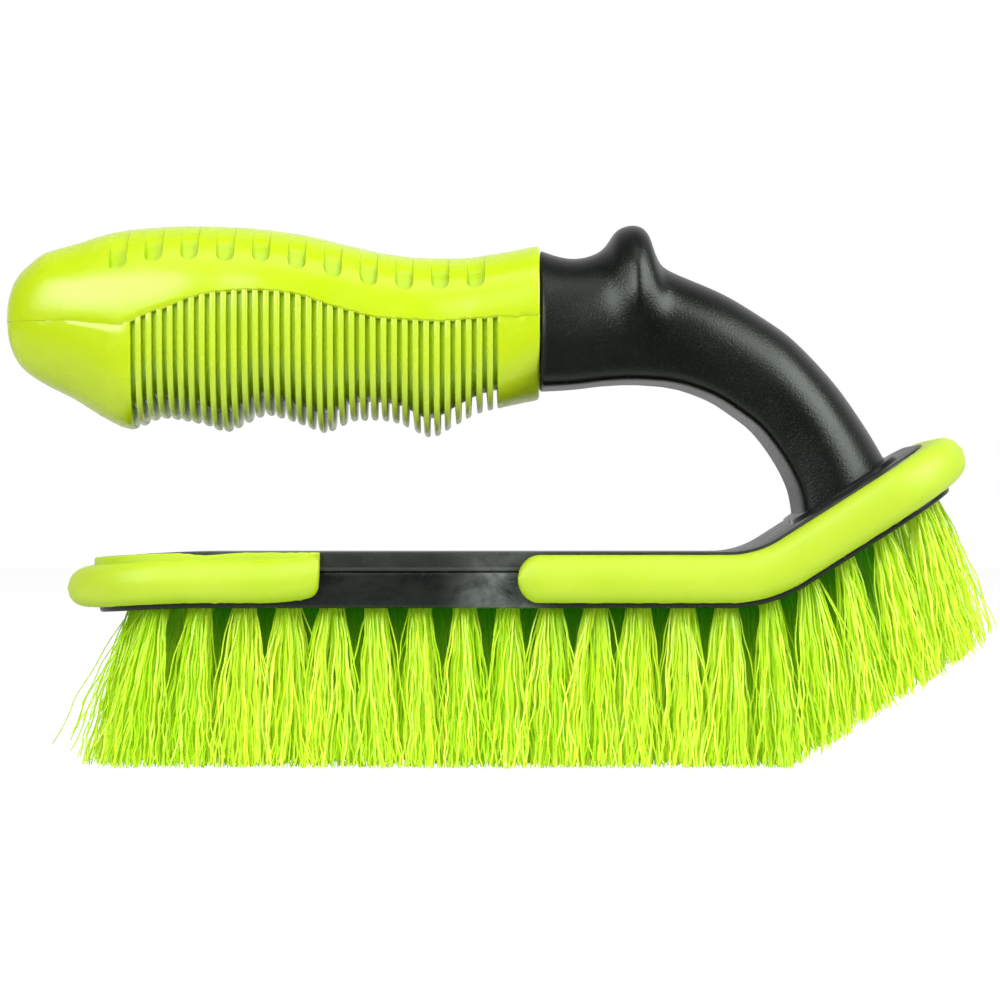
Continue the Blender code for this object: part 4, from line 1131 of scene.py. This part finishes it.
def spline_rows(rows, steps):
    """Rows of values with more rows between them, on smooth curves through the given ones."""
    rows = np.array(rows, float)
    result = []
    for index in range(len(rows) - 1):
        before = rows[max(index - 1, 0)]
        start, end = rows[index], rows[index + 1]
        after = rows[min(index + 2, len(rows) - 1)]
        for step in range(steps):
            t = step / steps
            bend = (2 * before - 5 * start + 4 * end - after) * t ** 2
            twist = (3 * start - before - 3 * end + after) * t ** 3
            result.append(0.5 * (2 * start + (end - before) * t + bend + twist))
    result.append(rows[-1])
    result = np.array(result)
    for _ in range(NECK_SMOOTHINGS):
        result[2:-2] = (result[1:-3] + 2 * result[2:-2] + result[3:-1]) / 4
    return result


def make_neck():
    """The curved neck with its thumb rest, from inside the grip's collar to the plinth."""
    foot_back = deck_points(FOOT_BACK_RUN, 0, -FOOT_SINK)
    foot_front = deck_points(FOOT_FRONT_RUN, 0, -FOOT_SINK)
    reach = foot_front[0] - NECK_START_X
    rows = []
    for outer_x, outer_z, inner_x, inner_z, width in NECK_STATION_SHARES:
        rows.append((NECK_START_X + reach * outer_x, DECK_Z + NECK_RISE * outer_z,
                     NECK_START_X + reach * inner_x, DECK_Z + NECK_RISE * inner_z, NECK_WIDTH * width))
    rows.append((foot_front[0], foot_front[2], foot_back[0], foot_back[2], NECK_WIDTH))
    outer_x, outer_z, inner_x, inner_z, width = rows[0]
    rings = []
    for ahead, inset in NECK_END_RINGS:
        outer, inner = (outer_x + ahead, 0, outer_z), (inner_x + ahead, 0, inner_z)
        rings.append(neck_section(outer, inner, width, inset))
    for outer_x, outer_z, inner_x, inner_z, width in spline_rows(rows, NECK_STEPS_BETWEEN)[1:]:
        rings.append(neck_section((outer_x, 0, outer_z), (inner_x, 0, inner_z), width))
    points = raise_thumb_ridge(np.concatenate(rings))
    make_piece("neck", points, ring_faces(len(rings), NECK_SIDES), GRAINED_BLACK, [])


# Bristles
def trim_points(path, across):
    """Points of the trimmed bristle ends: level first, then sloping up under the nose."""
    corner = BEND_START + UNDER_RADIUS * math.tan(BEND_ANGLE / 2) + TRIM_BEND_SHIFT
    past = np.maximum(0.0, path - corner)
    return np.stack([np.minimum(path, corner) + past * math.cos(TRIM_ANGLE), across,
                     past * math.sin(TRIM_ANGLE)], axis=-1)


def last_tuft_run():
    """Run of the foremost tufts."""
    last_run = BLOCK_REAR_X + FIRST_TUFT_INSET + (TUFT_COLUMNS - 1 - 1 / 2) * TUFT_PITCH
    return last_run - NOSE_TUFT_DRAW_BACK


def tip_run(run):
    """Where a root's strands end along the trimmed surface, fanned out at both ends."""
    rear_share = max(0.0, 1 - (run - BLOCK_REAR_X - FIRST_TUFT_INSET + TUFT_PITCH / 2) / REAR_FAN_LENGTH)
    last_run = last_tuft_run()
    nose_share = min(max((run - BEND_START) / (last_run - BEND_START), 0.0), 1.0)
    return run - REAR_FAN * rear_share ** 2 + NOSE_FAN * (1 - (1 - nose_share) ** 2)


def tuft_places(column):
    """Roots of a row's tufts: two half a pitch back between the lines, three on the column."""
    run = BLOCK_REAR_X + FIRST_TUFT_INSET + column * TUFT_PITCH
    between = min(run - TUFT_PITCH / 2, last_tuft_run())
    places = [(between, -TUFT_LINE_SPACING), (between, TUFT_LINE_SPACING)]
    if column < TUFT_COLUMNS - 1:
        outer = 2 * TUFT_LINE_SPACING
        if column == TUFT_COLUMNS - 2:
            outer -= CORNER_TUFT_DRAW_IN
        places += [(run, -outer), (run, 0.0), (run, outer)]
    return places


def tuft_filaments(run, across, column, generator):
    """A tuft's filaments as centre lines (filament, ring, xyz), tints, and painted shades for each ring."""
    count = FILAMENTS_IN_TUFT
    index = np.arange(count)
    radius = np.sqrt((index + 0.5) / count)
    turn = index * math.pi * (3 - math.sqrt(5)) + generator.random() * 2 * math.pi
    spots = np.stack([radius * np.cos(turn), radius * np.sin(turn)], axis=-1)
    root = deck_points(run + ROOT_RADIUS_RUN * spots[:, 0], across + ROOT_RADIUS_ACROSS * spots[:, 1],
                       FILAMENT_SINK - BLOCK_THICKNESS)
    centres = generator.uniform(-LOCK_CENTRE_LIMIT, LOCK_CENTRE_LIMIT, (LOCKS_IN_TUFT, 2))
    lock = np.argmin(np.linalg.norm(spots[:, None] - centres[None], axis=-1), axis=1)
    drawn = spots + (centres[lock] - spots) * LOCK_DRAW_SHARE

    def lock_and_own(lock_spread, own_spread, *axes):
        """Random values that the filaments of a lock share, and values of each filament's own."""
        shared = generator.normal(0, lock_spread, (LOCKS_IN_TUFT, *axes))[lock]
        return shared, generator.normal(0, own_spread, (count, *axes))

    lean = generator.normal(0, LOCK_LEAN, (LOCKS_IN_TUFT, 2))[lock]
    gain = np.where(generator.random(count) < STRAY_SHARE, STRAY_GAIN, 1.0)
    lean = lean + generator.normal(0, OWN_LEAN, (count, 2)) * gain[:, None]
    outward = NOSE_STRAY_PULL if column >= TUFT_COLUMNS - 2 else 0.0
    outward = REAR_STRAY_PULL if column == 0 else outward
    extra = outward * (gain > 1) * np.abs(generator.normal(0, END_STRAY, count))
    rear_limit = REAR_LEAN_LIMIT if column == 0 else LEAN_LIMIT
    lean[:, 0] = np.clip(lean[:, 0] + extra, -rear_limit, LEAN_LIMIT)
    end_run = tip_run(run) + TIP_RADIUS_RUN * drawn[:, 0] + lean[:, 0]
    splayed = across * (1 + SIDE_SPLAY / (2 * TUFT_LINE_SPACING))
    end_across = splayed + TIP_RADIUS_ACROSS * drawn[:, 1] + lean[:, 1]
    limit = BLOCK_WIDTH / 2 + TIP_SIDE_LIMIT
    end_across = limit * np.tanh(end_across / limit * TIP_ROUNDING) / math.tanh(TIP_ROUNDING)
    tip = trim_points(end_run, end_across)
    levels = np.linspace(0, 1, FILAMENT_SEGMENTS + 1)
    lengths = MEAN_LENGTH + NOSE_LENGTH_GAIN * smooth_step(BEND_START, BEND_END, run)
    lengths = lengths - np.abs(generator.normal(0, LENGTH_SPREAD, count)) - np.abs(extra) * STRAY_SHORTENING
    share = levels[None, :] * lengths[:, None]
    flare = np.clip(share, 0, 1) ** FLARE_POWER + np.maximum(share - 1, 0)
    lines = root[:, None] + (tip - root)[:, None] * np.stack([flare, flare, share], axis=-1)
    bow, own_bow = lock_and_own(BOW, BOW, 2)
    bow = bow + own_bow * OWN_BOW_SHARE
    lines[:, :, :2] += 4 * (share * (1 - share))[:, :, None] * bow[:, None]
    phase = generator.random(LOCKS_IN_TUFT)[lock] + generator.normal(0, OWN_PHASE, count)
    pace = generator.uniform(*LOCK_WAVES, LOCKS_IN_TUFT)[lock] + generator.normal(0, OWN_WAVES, count)
    swing = CRIMP * np.sqrt(np.clip(share, 0, 1))
    lines[:, :, 0] += np.sin(2 * math.pi * (share * pace[:, None] + phase[:, None])) * swing
    across_waves = share * pace[:, None] * CROSS_WAVES + CROSS_PHASE * phase[:, None]
    lines[:, :, 1] += np.cos(2 * math.pi * across_waves) * swing
    kinks = np.cumsum(generator.normal(0, KINK, (count, FILAMENT_SEGMENTS + 1, 2)), axis=1)
    lines[:, :, :2] += kinks * levels[None, :, None]
    margin_along, margin_across, margin_below = BOX_MARGIN
    lines[:, :, 0] = np.clip(lines[:, :, 0], cad_box[0][0] + margin_along, cad_box[1][0] - margin_along)
    side_limit = cad_box[1][1] - margin_across
    lines[:, :, 1] = np.clip(lines[:, :, 1], -side_limit, side_limit)
    lines[:, :, 2] = np.maximum(lines[:, :, 2], margin_below)
    tint, own_tint = lock_and_own(LOCK_TINT, OWN_TINT)
    # Painted shade among the tufts: strongest at the roots of inner tufts, faint at the roots of outer ones
    inner = abs(across) < OUTER_TUFT_ACROSS and 0 < column < TUFT_COLUMNS - 1
    strength, power = INNER_SHADE if inner else OUTER_SHADE
    strength *= {1: SECOND_ROW_SHADE, TUFT_COLUMNS - 2: NOSE_ROW_SHADE}.get(column, 1.0)
    shade = strength * (1 - levels) ** power
    return lines, np.clip(0.5 + tint + own_tint, 0, 1), np.broadcast_to(shade, share.shape)


def make_bristles():
    """All the filaments, one piece for each row of tufts."""
    corner_angles = 2 * math.pi * np.arange(FILAMENT_SIDES) / FILAMENT_SIDES
    for column in range(TUFT_COLUMNS):
        generator = np.random.default_rng(SEED * 100 + column)
        lines, tints, shades = [], [], []
        for run, across in tuft_places(column):
            tuft_lines, tint, shade = tuft_filaments(run, across, column, generator)
            lines.append(tuft_lines)
            tints.append(tint)
            shades.append(shade)
        lines = np.concatenate(lines)
        count, levels = lines.shape[:2]
        turn = generator.random(count) * 2 * math.pi
        angles = turn[:, None] + corner_angles[None]
        taper = np.ones(levels)
        taper[-1] = TIP_TAPER
        offsets = np.stack([np.cos(angles), np.sin(angles), np.zeros_like(angles)], axis=-1)
        offsets *= FILAMENT_RADIUS
        points = lines[:, :, None] + offsets[:, None] * taper[None, :, None, None]
        ring = FILAMENT_SIDES
        faces = []
        for filament in range(count):
            start = filament * levels * ring
            for level in range(levels - 1):
                base = start + level * ring
                for side in range(ring):
                    follow = (side + 1) % ring
                    faces.append((base + side, base + ring + side, base + ring + follow, base + follow))
            faces.append(tuple(range(start, start + ring)))
            faces.append(tuple(range(start + (levels - 1) * ring, start + levels * ring))[::-1])
        number = f"{column + 1:02d}"
        layers = {"filament_tint": np.repeat(np.concatenate(tints), levels * ring),
                  "depth_shade": np.repeat(np.concatenate(shades).reshape(-1), ring)}
        make_piece("bristle_row_" + number, points.reshape(-1, 3), faces, NYLON,
                   ["tuft_row_" + number], sharp_degrees=80, weld=0, layers=layers)


# Stage, light and camera
def make_stage():
    """A plain pale floor that reads as white."""
    mesh = bpy.data.meshes.new("floor")
    corners = [(FLOOR_HALF * x, FLOOR_HALF * y, 0) for x, y in ((-1, -1), (1, -1), (1, 1), (-1, 1))]
    mesh.from_pydata(corners, [], [(0, 1, 2, 3)])
    floor = bpy.data.objects.new("floor", mesh)
    floor.location = (0, 0, -FLOOR_DROP)
    bpy.context.scene.collection.objects.link(floor)
    material, tree, shader = new_material("pale_floor", (0.85, 0.85, 0.85), 0.9, specular=0.0)
    table = mapped(tree, place_along(tree, "Y"), FLOOR_FADE, onto=(0.04, 0.85))
    tree.links.new(table, shader.inputs["Base Color"])
    glow = add_node(tree, "Emission", {"Color": (1, 1, 1, 1), "Strength": 0.90})
    matt = add_node(tree, "BsdfDiffuse", {"Color": (0.30, 0.30, 0.30, 1)})
    both = add_node(tree, "AddShader")
    tree.links.new(matt.outputs["BSDF"], both.inputs[0])
    tree.links.new(glow.outputs["Emission"], both.inputs[1])
    choose_for_camera(tree, shader.outputs["BSDF"], both.outputs["Shader"], tree.nodes["Material Output"])
    mesh.materials.append(material)


def add_softbox(name, place, target, width, height, power):
    """A rectangular light that points at a target."""
    data = bpy.data.lights.new(name, "AREA")
    data.shape = "RECTANGLE"
    data.size = width
    data.size_y = height
    data.energy = power
    light = bpy.data.objects.new(name, data)
    light.location = place
    light.rotation_euler = (Vector(target) - Vector(place)).to_track_quat("-Z", "Y").to_euler()
    light.visible_camera = False
    bpy.context.scene.collection.objects.link(light)


def make_light():
    """Soft studio light: a white room behind, a darker side towards the camera, and three softboxes."""
    world = bpy.data.worlds.new("studio")
    bpy.context.scene.world = world
    world.use_nodes = True
    tree = world.node_tree
    tree.nodes.clear()
    output = add_node(tree, "OutputWorld")
    ramp = add_node(tree, "ValToRGB")
    dark, bright = ramp.color_ramp.elements
    dark.position = 0.50
    dark.color = (0.035, 0.035, 0.035, 1)
    bright.position = 0.95
    bright.color = (1, 1, 1, 1)
    back = mapped(tree, place_along(tree, "Y", "Generated"), (-1.0, 1.0))
    tree.links.new(back, ramp.inputs["Fac"])
    lit = add_node(tree, "Background", {"Strength": 0.9})
    tree.links.new(ramp.outputs["Color"], lit.inputs["Color"])
    seen = add_node(tree, "Background", {"Color": (1, 1, 1, 1), "Strength": 1.0})
    choose_for_camera(tree, lit.outputs["Background"], seen.outputs["Background"], output)
    for softbox in SOFTBOXES:
        add_softbox(*softbox)


def make_camera():
    """The camera at the photograph's angle: level, straight at the side."""
    data = bpy.data.cameras.new("camera")
    data.sensor_width = SENSOR_WIDTH
    data.lens = SENSOR_WIDTH * CAMERA_DISTANCE / PICTURE_WIDTH
    data.shift_x = CAMERA_SHIFT_X
    data.shift_y = (PICTURE_MIDDLE_Z - CAMERA_HEIGHT) / PICTURE_WIDTH
    data.clip_start = 0.01
    data.clip_end = 20
    camera = bpy.data.objects.new("camera", data)
    camera.location = (CAMERA_X, -CAMERA_DISTANCE, CAMERA_HEIGHT)
    camera.rotation_euler = (math.pi / 2, 0, 0)
    bpy.context.scene.collection.objects.link(camera)
    bpy.context.scene.camera = camera


make_block()
make_bumpers()
make_grip_fins()
make_grip_band()
make_neck()
make_bristles()
make_stage()
make_light()
make_camera()
bpy.context.scene.view_settings.view_transform = "Standard"
bpy.context.scene.view_settings.look = "None"
